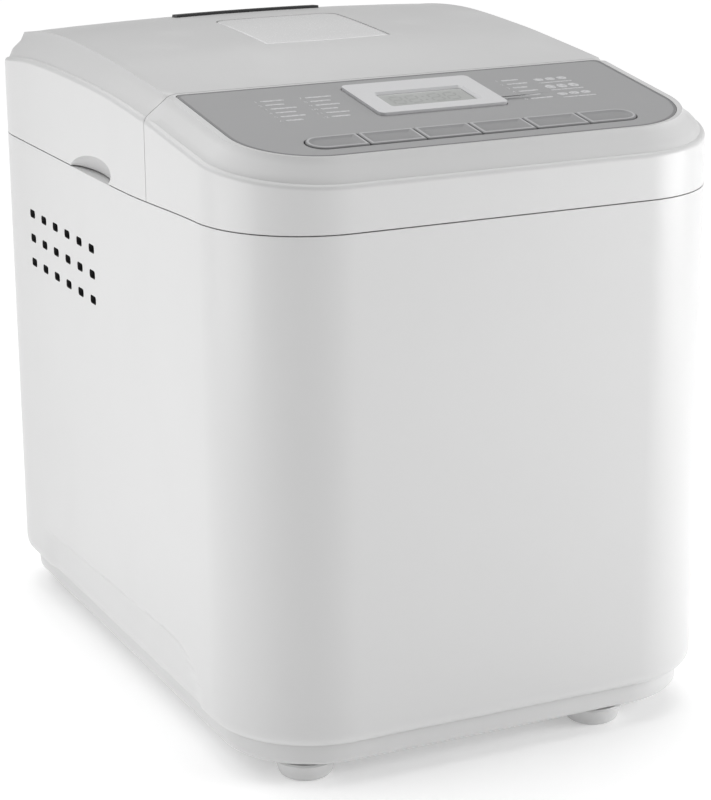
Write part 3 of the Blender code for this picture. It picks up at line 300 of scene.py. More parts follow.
def stripes(made, scale):
    # even bands across Z
    return made.node("ShaderNodeTexWave", {"wave_type": "BANDS", "bands_direction": "Z"},
                     {"Vector": made.place, "Scale": scale, "Distortion": 0.0}, "Fac")


def makeFinishes():
    finishes = {
        "whiteCasing": mouldedPlastic("white_casing", (0.68, 0.68, 0.68), 0.30, 0.000012),
        "whiteFitting": mouldedPlastic("white_fitting", (0.66, 0.66, 0.66), 0.38),
        "bezelSilver": mouldedPlastic("bezel_silver", (0.66, 0.66, 0.67), 0.36),
        "keyGrey": mouldedPlastic("key_grey", (0.255, 0.255, 0.260), 0.46),
        # paler grey on the keys' rim tops: a painted highlight where light catches the raised rims
        "keyRimHighlight": mouldedPlastic("key_rim_painted_highlight", (0.44, 0.44, 0.45), 0.40),
        "panelGrey": mouldedPlastic("panel_grey", (0.325, 0.325, 0.330), 0.46, 0.00003),
        "panelLip": mouldedPlastic("panel_lip", (0.20, 0.20, 0.205), 0.40),
        # painted shade: near black for the vents' cut walls, standing in for the shadow inside the holes
        "ventPaintedShade": mouldedPlastic("vent_painted_shade", (0.022, 0.022, 0.023), 0.60),
        "darkMoulding": mouldedPlastic("dark_moulding", (0.030, 0.030, 0.032), 0.45),
        "deckPlastic": mouldedPlastic("deck_plastic", (0.50, 0.50, 0.50), 0.50, 0.00006),
        "fanNylon": mouldedPlastic("fan_nylon", (0.70, 0.70, 0.67), 0.45),
        "bareSteel": sheetMetal("bare_steel", (0.60, 0.60, 0.61), 0.30, (1, 1, 4)),
        "ovenSheet": sheetMetal("oven_sheet", (0.56, 0.56, 0.56), 0.38, (14, 14, 1), 0.45),
        "chassisSheet": sheetMetal("chassis_sheet", (0.58, 0.58, 0.59), 0.40, (1, 14, 1)),
        "linerSheet": sheetMetal("liner_sheet", (0.70, 0.70, 0.71), 0.33, (1, 14, 1), 0.25),
        "sheath": sheetMetal("element_sheath", (0.24, 0.225, 0.21), 0.42, (3, 3, 3), 0.8),
        "castAluminium": castMetal("cast_aluminium", (0.66, 0.66, 0.67), 0.40),
        "bronze": castMetal("bronze", (0.58, 0.42, 0.22), 0.38),
    }

    ink = Finish("printed_ink", (0.56, 0.56, 0.57), 0.5)
    worn = ink.ramp(ink.noise(900.0, 2.0), ((0.35, 0.0), (0.55, 1.0)))
    ink.feed("Base Color", ink.blend(worn, (0.46, 0.46, 0.47), (0.60, 0.60, 0.61)))
    finishes["ink"] = ink

    smoked = Finish("display_lens", (0.50, 0.51, 0.50), 0.10)
    smear = smoked.noise(60.0, 3.0)
    smoked.feed("Roughness", 0.06 + 0.12 * smear)
    smoked.feed("Base Color", smoked.blend(smear, (0.47, 0.48, 0.47), (0.54, 0.55, 0.54)))
    finishes["displayLens"] = smoked

    unlit = Finish("display_segment", (0.42, 0.43, 0.42), 0.20)
    unlit.feed("Base Color", unlit.blend(unlit.noise(700.0), (0.41, 0.42, 0.41), (0.46, 0.47, 0.46)))
    finishes["segment"] = unlit

    frosted = Finish("frosted_window", (0.90, 0.90, 0.90), 0.22, Coat_Weight=0.4, Coat_Roughness=0.08)
    frost = frosted.noise(1800.0, 2.0)
    frosted.feed("Roughness", 0.18 + 0.14 * frost)
    cloudy = frosted.noise(30.0, 3.0)
    frosted.feed("Base Color", frosted.blend(cloudy, (0.92, 0.92, 0.92), (0.86, 0.86, 0.865)))
    frosted.relief(frost, 0.00001)
    finishes["frosted"] = frosted

    glass = Finish("inner_glass", (0.90, 0.93, 0.93), 0.05, Transmission_Weight=0.9, IOR=1.45)
    haze = glass.noise(50.0, 3.0)
    glass.feed("Roughness", 0.03 + 0.10 * haze)
    finishes["innerGlass"] = glass

    coating = Finish("nonstick_coating", (0.10, 0.10, 0.105), 0.38, 0.25)
    speckle = coating.ramp(coating.noise(1100.0, 2.0), ((0.62, 0.0), (0.68, 1.0)))
    coating.feed("Base Color", coating.blend(speckle * 0.7, (0.085, 0.085, 0.09), (0.28, 0.28, 0.285)))
    coating.feed("Roughness", 0.33 + 0.12 * coating.noise(25.0, 3.0))
    coating.relief(coating.noise(700.0, 2.0), 0.00004)
    finishes["nonstick"] = coating

    copper = Finish("copper_winding", (0.68, 0.30, 0.13), 0.32, 0.85)
    turns = stripes(copper, 420.0)
    copper.feed("Base Color", copper.blend(turns, (0.36, 0.13, 0.05), (0.75, 0.34, 0.15)))
    copper.relief(turns, 0.0002)
    finishes["copper"] = copper

    laminated = Finish("laminated_core", (0.42, 0.42, 0.43), 0.5, 1.0)
    sheets = stripes(laminated, 320.0)
    laminated.feed("Base Color", laminated.blend(sheets, (0.20, 0.19, 0.19), (0.50, 0.50, 0.51)))
    laminated.relief(sheets, 0.0001)
    finishes["laminated"] = laminated

    circuit = Finish("circuit_board", (0.05, 0.24, 0.10), 0.45)
    copperShare = circuit.ramp(circuit.noise(240.0), ((0.50, 0.0), (0.53, 1.0)))
    circuit.feed("Base Color", circuit.blend(copperShare * 0.6, (0.02, 0.13, 0.05), (0.09, 0.30, 0.14)))
    circuit.relief(copperShare, 0.00004)
    finishes["circuit"] = circuit

    rubber = Finish("belt_rubber", (0.025, 0.025, 0.027), 0.7)
    ribs = stripes(rubber, 260.0)
    dusty = rubber.noise(300.0, 3.0)
    rubber.feed("Base Color", rubber.blend(dusty, (0.018, 0.018, 0.020), (0.05, 0.05, 0.052)))
    rubber.relief(ribs, 0.0002)
    finishes["rubber"] = rubber
    return finishes


floor = {"size": 40.0, "shade": (0.95, 0.95, 0.95), "glow": 0.20}


def addFloor(finishes):
    bm = bmesh.new()
    bmesh.ops.create_grid(bm, x_segments=1, y_segments=1, size=floor["size"] / 2)
    mesh = bpy.data.meshes.new("floor")
    bm.to_mesh(mesh)
    bm.free()
    ground = bpy.data.objects.new("floor", mesh)
    bpy.context.scene.collection.objects.link(ground)
    pale = Finish("pale_floor", floor["shade"], 0.75, Specular_IOR_Level=0.15,
                  Emission_Strength=floor["glow"], Emission_Color=(1, 1, 1, 1))
    pale.feed("Base Color", pale.blend(pale.noise(3.0, 3.0), floor["shade"], (0.97, 0.97, 0.97)))
    mesh.materials.append(pale.material)


addCamera()
addLights()
finishes = makeFinishes()
addFloor(finishes)


def cubeBetween(bm, low, high):
    low, high = Vector(low), Vector(high)
    place = Matrix.Translation((low + high) / 2) @ Matrix.Diagonal((*(high - low), 1))
    return bmesh.ops.create_cube(bm, size=1, matrix=place)["verts"]


def uprightEdges(verts):
    edges = {edge for vertex in verts for edge in vertex.link_edges}
    return [edge for edge in edges if (edge.verts[0].co - edge.verts[1].co).xy.length < 0.00001]


def roundEdges(bm, edges, width, segments=4):
    return bmesh.ops.bevel(bm, geom=edges, offset=width, offset_type="OFFSET", segments=segments, profile=0.5,
                           affect="EDGES", material=-1, clamp_overlap=True)


def slices(bm, axis, positions):
    normal = Vector((axis == 0, axis == 1, axis == 2))
    for position in positions:
        bmesh.ops.bisect_plane(bm, geom=bm.verts[:] + bm.edges[:] + bm.faces[:],
                               plane_co=normal * position, plane_no=normal, dist=0.000001)


def steps(first, last, count):
    return [first + (last - first) * k / count for k in range(count + 1)]


def facesTowards(bm, axis, sign, limit=0.9):
    bm.normal_update()
    return [face for face in bm.faces if face.normal[axis] * sign > limit]


def roundedOutline(x, y, radii, arcSteps=8):
    # a rectangle's outline; radii run front left, front right, rear right, rear left
    radii = (radii,) * 4 if isinstance(radii, float) else radii
    corners = ((x[0], y[0], 1, 1), (x[1], y[0], -1, 1), (x[1], y[1], -1, -1), (x[0], y[1], 1, -1))
    points = []
    for turn, ((cornerX, cornerY, inX, inY), radius) in enumerate(zip(corners, radii)):
        for k in range(arcSteps + 1):
            angle = pi + pi / 2 * (turn + k / arcSteps)
            points.append((cornerX + inX * radius + radius * cos(angle),
                           cornerY + inY * radius + radius * sin(angle)))
    return points


def prism(outline, low, high, bm=None):
    # an outline in X and Y raised from low to high
    bm = bm or bmesh.new()
    face = bm.faces.new([bm.verts.new((x, y, low)) for x, y in outline])
    raised = bmesh.ops.extrude_face_region(bm, geom=[face], use_keep_orig=True)["geom"]
    top = [item for item in raised if isinstance(item, bmesh.types.BMVert)]
    bmesh.ops.translate(bm, vec=(0, 0, high - low), verts=top)
    return bm


def stacked(rings, hollow=False):
    # a solid through outlines of equal length, each a (points, height) pair; it is capped at both ends,
    # or if hollow the last outline joins the first
    bm = bmesh.new()
    loops = [[bm.verts.new((x, y, height)) for x, y in points] for points, height in rings]
    following = loops[1:] + loops[:1] if hollow else loops[1:]
    for low, high in zip(loops, following):
        for k in range(len(low)):
            bm.faces.new((low[k - 1], low[k], high[k], high[k - 1]))
    if not hollow:
        bm.faces.new(loops[0])
        bm.faces.new(loops[-1])
    return bm


def spun(profile, count=48):
    # a solid of revolution about Z from (radius, height) points, starting and ending on the axis or closed
    bm = bmesh.new()
    points = [bm.verts.new((radius, 0, height)) for radius, height in profile]
    edges = [bm.edges.new(pair) for pair in zip(points, points[1:])]
    if profile[0][0] > 0 and profile[-1][0] > 0:
        edges.append(bm.edges.new((points[-1], points[0])))
    bmesh.ops.spin(bm, geom=points + edges, cent=(0, 0, 0), axis=(0, 0, 1), angle=2 * pi, steps=count,
                   use_merge=True, use_normal_flip=False, use_duplicate=False)
    bmesh.ops.remove_doubles(bm, verts=bm.verts, dist=0.000005)
    return bm


def roundBar(radius, length, middle, turnAxis, segments=32):
    # a straight round bar, first upright and then turned a quarter about an axis
    bm = bmesh.new()
    place = Matrix.Translation(middle) @ Matrix.Rotation(pi / 2, 4, turnAxis)
    bmesh.ops.create_cone(bm, cap_ends=True, segments=segments, radius1=radius, radius2=radius, depth=length,
                          matrix=place)
    return bm


def toPiece(bm, name, finish, body=None, replaces=(), place=casingPlace, sharp=35):
    bmesh.ops.remove_doubles(bm, verts=bm.verts, dist=0.0000005)
    bmesh.ops.recalc_face_normals(bm, faces=bm.faces)
    bmesh.ops.transform(bm, matrix=place, verts=bm.verts)
    mesh = bpy.data.meshes.new(name)
    bm.to_mesh(mesh)
    bm.free()
    piece = bpy.data.objects.new(name, mesh)
    bpy.context.scene.collection.objects.link(piece)
    mesh.materials.append(finishes[finish].material)
    smoothShade(piece, sharp)
    if body:
        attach(piece, body)
    if replaces:
        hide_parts(*replaces)
    return piece


def toTool(bm, place=casingPlace):
    # a shape that only cuts or joins; it takes the piece's own finish
    return toPiece(bm, "tool", "whiteCasing", place=place)


def smoothShade(piece, sharp=35):
    piece.data.shade_smooth()
    piece.data.set_sharp_from_angle(angle=radians(sharp))


def bake(piece):
    # turn the modifiers into mesh
    shape = bpy.data.meshes.new_from_object(piece.evaluated_get(bpy.context.evaluated_depsgraph_get()))
    piece.modifiers.clear()
    piece.data = shape


def thicken(piece, wall):
    shell = piece.modifiers.new("wall", "SOLIDIFY")
    shell.thickness = wall
    shell.offset = -1
    shell.use_even_offset = True


def carve(piece, *tools, how="DIFFERENCE"):
    # cut the tools out of the piece, or join them to it, and drop the tools
    for tool in tools:
        step = piece.modifiers.new("carve", "BOOLEAN")
        step.operation = how
        step.object = tool
        step.solver = "EXACT"
    bake(piece)
    smoothShade(piece)
    for tool in tools:
        bpy.data.objects.remove(tool)


def softenEdges(piece, width, segments=2, angle=50):
    bevel = piece.modifiers.new("soften", "BEVEL")
    bevel.width = width
    bevel.segments = segments
    bevel.limit_method = "ANGLE"
    bevel.angle_limit = radians(angle)
    bevel.use_clamp_overlap = True
    bake(piece)
    smoothShade(piece)
    weighted = piece.modifiers.new("weighted", "WEIGHTED_NORMAL")
    weighted.keep_sharp = True
    bake(piece)


def smoothLine(points, at):
    # height on a smooth curve through points of (y, z)
    at = min(max(at, points[0][0]), points[-1][0])
    k = max(n for n in range(len(points) - 1) if points[n][0] <= at)

    def slope(n):
        before, after = points[max(n - 1, 0)], points[min(n + 1, len(points) - 1)]
        return (after[1] - before[1]) / (after[0] - before[0])

    (y0, z0), (y1, z1) = points[k], points[k + 1]
    span = y1 - y0
    t = (at - y0) / span
    return (
        z0 * (2 * t**3 - 3 * t**2 + 1) + z1 * (3 * t**2 - 2 * t**3)
        + span * (slope(k) * (t**3 - 2 * t**2 + t) + slope(k + 1) * (t**3 - t**2))
    )


def panelHeight(y):
    return lidLine[0][1] + (y - lidLine[0][0]) * sin(panel["slope"]) / cos(panel["slope"])


def lidHeight(x, y):
    # a flat slope in front of the seam and a crowned lid behind it
    if y < lidLine[0][0]:
        return panelHeight(y)
    rise = min((y - lidLine[0][0]) / casing["crownRun"], 1)
    across = max(1 - (x / (halfX - casing["chamfer"])) ** 2, 0)
    return smoothLine(lidLine, y) + casing["crown"] * rise * rise * (3 - 2 * rise) * across


def edgeSide(x, y):
    # distance in from the casing's outline, and the way in from there
    outX = abs(x) - (halfX - casing["corner"])
    outY = abs(y) - (halfY - casing["corner"])
    signX, signY = (1 if x > 0 else -1), (1 if y > 0 else -1)
    if outX > 0 and outY > 0:
        reach = hypot(outX, outY)
        return casing["corner"] - reach, -signX * outX / reach, -signY * outY / reach
    if halfX - abs(x) < halfY - abs(y):
        return halfX - abs(x), -signX, 0
    return halfY - abs(y), 0, -signY


def topSurface(x, y):
    depth, inX, inY = edgeSide(x, y)
    width = casing["chamfer"]
    if depth >= width:
        return lidHeight(x, y)
    low = smoothLine(chamferLine, y - inY * depth)
    high = lidHeight(x + inX * (width - depth), y + inY * (width - depth))
    return low + (high - low) * depth / width


def casingBlock(low, high, inset=0.0):
    # a block with the casing's plan, its upright edges rounded
    bm = bmesh.new()
    verts = cubeBetween(bm, (inset - halfX, inset - halfY, low), (halfX - inset, halfY - inset, high))
    roundEdges(bm, uprightEdges(verts), casing["corner"] - inset, casing["cornerSteps"])
    return bm


straightY = halfY - casing["corner"]
sideStations = steps(-straightY, straightY, 40)

recess = {
    "y": 0.0090, "archHalf": (0.0066, 0.0275, 0.0077), "archOut": 0.0008, "archUp": 0.0008,
    "archTilt": radians(-8.5), "archBack": 0.0016, "shelfHalf": (0.0116, 0.0285, 0.0078),
    "shelfOut": 0.0016, "wallInset": 0.0007, "lineInset": 0.0003,
}


def ellipsoid(half, centre, tilt=0.0):
    bm = bmesh.new()
    bmesh.ops.create_uvsphere(bm, u_segments=48, v_segments=32, radius=1)
    bmesh.ops.scale(bm, vec=half, verts=bm.verts)
    bmesh.ops.rotate(bm, cent=(0, 0, 0), matrix=Matrix.Rotation(tilt, 3, "X"), verts=bm.verts)
    bmesh.ops.translate(bm, vec=centre, verts=bm.verts)
    return bm


def keepInside(bm, side, up):
    # keep what is inside the side wall, and above the parting line if up is 1 or below it if up is -1
    limits = (((side * (halfX - recess["wallInset"]), 0, 0), (side, 0, 0)),
              ((0, 0, lidRim + up * recess["lineInset"]), (0, 0, -up)))
    for point, normal in limits:
        bmesh.ops.bisect_plane(bm, geom=bm.verts[:] + bm.edges[:] + bm.faces[:], plane_co=point,
                               plane_no=normal, clear_outer=True, dist=0.000001)
        bmesh.ops.holes_fill(bm, edges=[edge for edge in bm.edges if edge.is_boundary], sides=0)


def recessShelf(side):
    # the body's ledge under the finger recess, flat at the parting line
    centre = (side * (halfX + recess["shelfOut"]), recess["y"], lidRim)
    bm = ellipsoid(recess["shelfHalf"], centre)
    keepInside(bm, side, -1)
    return toTool(bm)


def recessArch(side, grow=0.0):
    # the dish in the lid's rim that finger tips reach into; with grow, the wall behind it
    centre = (side * (halfX + recess["archOut"]), recess["y"], lidRim + recess["archUp"])
    bm = ellipsoid([size + grow for size in recess["archHalf"]], centre, recess["archTilt"])
    if grow:
        keepInside(bm, side, 1)
    return toTool(bm)


vents = {
    "rows": (0.1710, 0.1826, 0.1942), "columns": 6, "firstY": 0.0105, "pitch": 0.0162,
    "length": 0.0070, "height": 0.0038, "rounding": 0.0012, "reach": (0.105, 0.118),
}


def ventTools():
    bm = bmesh.new()
    for side in (-1, 1):
        for z in vents["rows"]:
            for column in range(vents["columns"]):
                y = vents["firstY"] + column * vents["pitch"]
                near, far = sorted(side * x for x in vents["reach"])
                cubeBetween(bm, (near, y - vents["length"] / 2, z - vents["height"] / 2),
                            (far, y + vents["length"] / 2, z + vents["height"] / 2))
    across = [edge for edge in bm.edges if (edge.verts[0].co - edge.verts[1].co).yz.length < 0.00001]
    roundEdges(bm, across, vents["rounding"], 3)
    # the vents' cut walls take the shell's second finish, dark painted shade for the shadow in the holes
    for face in bm.faces:
        face.material_index = 1
    return toTool(bm)


relief = {
    "depth": 0.0013, "front": -0.104, "frontRun": 0.034, "foot": 0.0185, "top": 0.0430,
    "fallFrom": -0.070, "fall": 0.02857, "rear": 0.094, "softness": 0.0017, "endSoftness": 0.012,
}


def softStep(t):
    t = min(max(t, 0), 1)
    return t * t * (3 - 2 * t)


def reliefDepth(y, z):
    # the shallow hand relief low on each side
    along = (y - relief["front"]) / relief["frontRun"]
    if along <= 0:
        return 0
    start = min(along, 1)
    top = relief["foot"] + (relief["top"] - relief["foot"]) * (1 - (1 - start) ** 2) ** 0.5
    top -= max(y - relief["fallFrom"], 0) * relief["fall"]
    rearEnd = softStep((relief["rear"] - y) / relief["endSoftness"])
    return relief["depth"] * softStep((top - z) / relief["softness"]) * rearEnd


def bodyShell():
    bm = casingBlock(shellLow.z, shellHigh.z)
    slices(bm, 1, sideStations)
    slices(bm, 2, steps(*casing["reliefBand"], 32) + steps(*casing["upperBand"], 24))
    bottom = [edge for edge in bm.edges if max(vertex.co.z for vertex in edge.verts) < shellLow.z + 0.00001
              and len({face.normal.z < -0.9 for face in edge.link_faces}) == 2]
    bm.normal_update()
    roundEdges(bm, bottom, casing["baseRounding"], 6)
    for vertex in bm.verts:
        if vertex.co.z > shellHigh.z - 0.00001:
            vertex.co.z = smoothLine(partingLine, vertex.co.y) - casing["partingGap"] / 2
        if abs(vertex.co.x) > halfX - casing["baseRounding"] - 0.00001:
            vertex.co.x -= (1 if vertex.co.x > 0 else -1) * reliefDepth(vertex.co.y, vertex.co.z)
    ends = facesTowards(bm, 2, -1, 0.99) + facesTowards(bm, 2, 1, 0.99)
    bmesh.ops.delete(bm, geom=ends, context="FACES_ONLY")
    shell = toPiece(bm, "casing_body", "whiteCasing", "base", ("body_shell",))
    thicken(shell, casing["wall"])
    # second finish: near-black painted shade on the vents' walls
    shell.data.materials.append(finishes["ventPaintedShade"].material)
    carve(shell, *[recessShelf(side) for side in (-1, 1)], how="UNION")
    glandHole = roundBar(casing["glandRadius"], 0.02, casing["glandPlace"], "X", 40)
    carve(shell, ventTools(), toTool(glandHole))
    softenEdges(shell, casing["edgeRounding"])


def topCover(name, body, front, nodesReplaced):
    # the control cover in front of the seam, or the lid behind it, as one moulded skin
    seam = casing["seamY"] + (-0.5 if front else 0.5) * casing["seamGap"]
    crest = casing["coverCrest"]
    bm = casingBlock(casing["coverFoot"], crest)
    for step in casing["coverInsets"]:
        top = max(facesTowards(bm, 2, 1), key=lambda face: face.calc_area())
        bmesh.ops.inset_region(bm, faces=[top], thickness=step, use_even_offset=True)
    slices(bm, 1, sideStations)
    slices(bm, 0, [side * x for side in (-1, 1) for x in casing["crownStations"]])
    bmesh.ops.bisect_plane(bm, geom=bm.verts[:] + bm.edges[:] + bm.faces[:], plane_co=(0, seam, 0),
                           plane_no=(0, 1, 0), clear_outer=front, clear_inner=not front, dist=0.000001)
    bmesh.ops.holes_fill(bm, edges=[edge for edge in bm.edges if edge.is_boundary], sides=0)
    ridges = [edge for edge in bm.edges if min(vertex.co.z for vertex in edge.verts) > crest - 0.00001
              and any(all(abs(edgeSide(*vertex.co.xy)[0] - depth) < 0.0001 for vertex in edge.verts)
                      for depth in (0, casing["chamfer"]))]
    for vertex in bm.verts:
        if vertex.co.z > crest - 0.00001:
            vertex.co.z = topSurface(vertex.co.x, vertex.co.y)
        else:
            vertex.co.z = smoothLine(partingLine, vertex.co.y) + casing["partingGap"] / 2
    roundEdges(bm, ridges, casing["chamferRounding"], 4)
    bmesh.ops.delete(bm, geom=facesTowards(bm, 2, -1), context="FACES_ONLY")
    cover = toPiece(bm, name, "whiteCasing", body, nodesReplaced)
    thicken(cover, casing["wall"])
    bake(cover)
    smoothShade(cover)
    return cover


throughPanel = (-0.02, 0.03)  # heights of a tool that cuts right through the panel
throughLid = (0.24, 0.30)

# from the panel's own plane, with v up its slope, to the frame
panelMiddle = Matrix.Translation((0, panel["middleY"], panelHeight(panel["middleY"])))
panelPlace = casingPlace @ panelMiddle @ Matrix.Rotation(panel["slope"], 4, "X")


def panelOutline(margin):
    sharp = panel["rearCorner"]
    return roundedOutline((margin - panel["halfX"], panel["halfX"] - margin),
                          (panel["front"] + margin, panel["rear"] - margin),
                          (panel["corner"] - margin, panel["corner"] - margin, sharp, sharp), 14)


def keyRowOutline(margin):
    half = panel["keyCount"] * panel["keyPitch"] / 2 + margin
    reach = panel["keyDepth"] / 2 + margin
    return roundedOutline((-half, half), (panel["keyV"] - reach, panel["keyV"] + reach), reach - 0.0001, 10)


def rectangleOutline(size, v, margin, radius):
    half, reach = size[0] / 2 + margin, size[1] / 2 + margin
    return roundedOutline((-half, half), (v - reach, v + reach), radius, 6)


def controlCover():
    cover = topCover("control_cover_skin", "base", True, ("control_cover",))
    gap = panel["gap"]
    pocket = toTool(prism(panelOutline(0), -panel["recess"], 0.02), panelPlace)
    row = toTool(prism(keyRowOutline(gap), *throughPanel), panelPlace)
    displayOutline = rectangleOutline(panel["openingSize"], panel["bezelV"], gap, 0.002)
    hole = toTool(prism(displayOutline, *throughPanel), panelPlace)
    carve(cover, pocket)
    carve(cover, row, hole)
    softenEdges(cover, casing["edgeRounding"])


def controlPanel():
    gap = panel["gap"]
    sheet = prism(panelOutline(gap), gap - panel["recess"], 0)
    slices(sheet, 0, (0,))  # so that no face goes right round an opening
    overlay = toPiece(sheet, "panel_overlay", "panelGrey", "base", ("control_panel",),
                      panelPlace)
    row = toTool(prism(keyRowOutline(gap), *throughPanel), panelPlace)
    bezelOutline = rectangleOutline(panel["bezelSize"], panel["bezelV"], gap, panel["bezelCorner"])
    hole = toTool(prism(bezelOutline, *throughPanel), panelPlace)
    carve(overlay, row, hole)
    softenEdges(overlay, 0.0002)

    # a darker thin strip that follows the panel's outline
    outer, inner = [panelOutline(gap + margin) for margin in panel["borderMargins"]]
    rings = [(outer, 0), (outer, panel["borderHeight"]), (inner, panel["borderHeight"]), (inner, 0)]
    toPiece(stacked(rings, True), "panel_border", "panelLip", "base", (), panelPlace)


display = {
    "digitHeight": 0.0088, "digitWidth": 0.0050, "stroke": 0.00085, "lean": radians(6),
    "digitX": (-0.0135, -0.0062, 0.0042, 0.0115), "dotX": -0.0010, "dotV": 0.0020, "dotRadius": 0.0006,
    "lensTop": 0.0002, "lensFoot": -0.0010, "filmTop": 0.00025, "openingFlare": 0.0014,
    "openingCorner": 0.0015, "overcut": 0.0002, "lensCorner": 0.0012,
}


def displayUnit():
    gap = panel["gap"]
    high = panel["bezelRise"]
    outline = rectangleOutline(panel["bezelSize"], panel["bezelV"], 0, panel["bezelCorner"])
    frameMesh = prism(outline, gap - panel["recess"], high)
    bezel = toPiece(frameMesh, "display_frame", "bezelSilver", "base", ("display_bezel",),
                    panelPlace)
    # the opening widens towards its top
    size, v, corner = panel["windowSize"], panel["windowV"], display["openingCorner"]
    flare = ((gap, throughPanel[0]), (gap, display["lensTop"]),
             (gap + display["openingFlare"], high + display["overcut"]))
    tool = stacked([(rectangleOutline(size, v, margin, corner), height) for margin, height in flare])
    carve(bezel, toTool(tool, panelPlace))
    softenEdges(bezel, 0.0005, 3, 40)

    lensOutline = rectangleOutline(size, v, 0, display["lensCorner"])
    lens = prism(lensOutline, display["lensFoot"], display["lensTop"])
    lensPiece = toPiece(lens, "display_lens", "displayLens", "base", ("display_window",),
                        panelPlace)
    softenEdges(lensPiece, 0.0002)

    # unlit seven-segment digits, a generic clock reading
    bm = bmesh.new()
    width, height = display["digitWidth"], display["digitHeight"]
    for x in display["digitX"]:
        for up in (-1, 0, 1):
            segment(bm, x, panel["windowV"] + up * height / 2, width, True)
        for side in (-1, 1):
            for up in (-1, 1):
                segment(bm, x + side * width / 2, panel["windowV"] + up * height / 4, height / 2, False)
    for up in (-1, 1):
        dot = (display["dotX"], panel["windowV"] + up * display["dotV"])
        spot(bm, dot, display["dotRadius"], display["lensTop"], display["filmTop"])
    toPiece(bm, "display_digits", "segment", "base", (), panelPlace)


def segment(bm, x, v, length, level):
    half, thick = length / 2 - display["stroke"] * 0.6, display["stroke"] / 2
    tip = half - thick
    shape = [(-half, 0), (-tip, -thick), (tip, -thick), (half, 0), (tip, thick), (-tip, thick)]
    if not level:
        shape = [(-b, a) for a, b in shape]
    leaning = [(x + a + b * sin(display["lean"]), v + b) for a, b in shape]
    prism(leaning, display["lensTop"], display["filmTop"], bm)


def spot(bm, centre, radius, low, high, count=20):
    turns = [2 * pi * k / count for k in range(count)]
    prism([(centre[0] + radius * cos(a), centre[1] + radius * sin(a)) for a in turns], low, high, bm)


legend = {
    "height": 0.00007, "row": 0.0052, "rows": 6, "bar": 0.0016, "digit": 0.0032,
    "left": (-0.0735, -0.0535), "right": (0.0385, 0.0565), "firstV": 0.0265,
    "leftStarts": (0.0030, 0.0042), "rightStarts": (0.0022, 0.0036),  # a numeral's end, its bar's start
    "lengths": (0.0105, 0.0085, 0.0118, 0.0092, 0.0110, 0.0078),  # of the bars that stand for words
    "rightScale": 0.9, "digitMiddle": 0.35,
    "blocks": 3, "blockPitch": 0.0056, "blockWidth": 0.0046, "blockRow": 0.0104,
    "blockHeights": (0.0036, 0.0052, 0.0036), "underline": (0.0160, 0.0011), "underlineDrop": 0.0046,
}


def bar(bm, x, v, width, height):
    radius = min(width, height) / 2 - 0.00001
    outline = roundedOutline((x, x + width), (v - height / 2, v + height / 2), radius, 3)
    prism(outline, 0, legend["height"], bm)


def numeral(bm, number, x, v):
    curve = bpy.data.curves.new("numeral", "FONT")
    curve.body = str(number)
    curve.size = legend["digit"]
    curve.extrude = legend["height"] / 2
    curve.align_x = "RIGHT"
    curve.resolution_u = 3
    drawn = bpy.data.objects.new("numeral", curve)
    bpy.context.scene.collection.objects.link(drawn)
    mesh = bpy.data.meshes.new_from_object(drawn.evaluated_get(bpy.context.evaluated_depsgraph_get()))
    bpy.data.objects.remove(drawn)
    mesh.transform(Matrix.Translation((x, v - legend["digit"] * legend["digitMiddle"], legend["height"] / 2)))
    bm.from_mesh(mesh)
    bpy.data.meshes.remove(mesh)


def panelPrint():
    # numbered programme rows left of the display and setting rows right of it; bars stand for words
    bm = bmesh.new()
    lengths, rows = legend["lengths"], legend["rows"]
    for row in range(rows):
        v = legend["firstV"] - row * legend["row"]
        numeralEnd, barStart = legend["leftStarts"]
        for column, x in enumerate(legend["left"]):
            numeral(bm, row + 1 + column * rows, x + numeralEnd, v)
            bar(bm, x + barStart, v, lengths[(row + 2 * column) % rows], legend["bar"])
        x = legend["right"][0]
        numeralEnd, barStart = legend["rightStarts"]
        numeral(bm, row + 1, x + numeralEnd, v)
        bar(bm, x + barStart, v, lengths[(row + 3) % rows] * legend["rightScale"], legend["bar"])
    for row, height in enumerate(legend["blockHeights"]):
        v = legend["firstV"] - legend["row"] / 2 - row * legend["blockRow"]
        for k in range(legend["blocks"]):
            bar(bm, legend["right"][1] + k * legend["blockPitch"], v, legend["blockWidth"], height)
        bar(bm, legend["right"][1], v - legend["underlineDrop"], *legend["underline"])
    bmesh.ops.remove_doubles(bm, verts=bm.verts, dist=0.0000001)
    toPiece(bm, "panel_print", "ink", "base", (), panelPlace)


# a key's section as (distance in from its outline, height): a raised rim, painted paler as a highlight, round
# a dished middle
keyProfile = (
    (0, -0.0044), (0, 0.0002), (0.0002, 0.00045), (0.0005, 0.00058), (0.0007, 0.0006),
    (0.0014, 0.0006), (0.0017, 0.00052), (0.0024, 0.00012), (0.0034, -0.00010), (0.0048, -0.00018),
)

# the row's outer corners are half round; under each cap a flange keeps it in its opening
keyShape = {"corner": 0.0008, "leastCorner": 0.0004, "flangeInset": 0.0003, "flangeReach": 0.0095,
            "flangeFoot": -0.0044, "flangeTop": -0.0034}


def keyRings(x, half, reach, corners):
    rings = []
    for margin, height in keyProfile:
        radii = [max(radius - margin, keyShape["leastCorner"]) for radius in corners]
        across = (x - half + margin, x + half - margin)
        along = (panel["keyV"] - reach + margin, panel["keyV"] + reach - margin)
        rings.append((roundedOutline(across, along, radii, 10), height))
    return rings


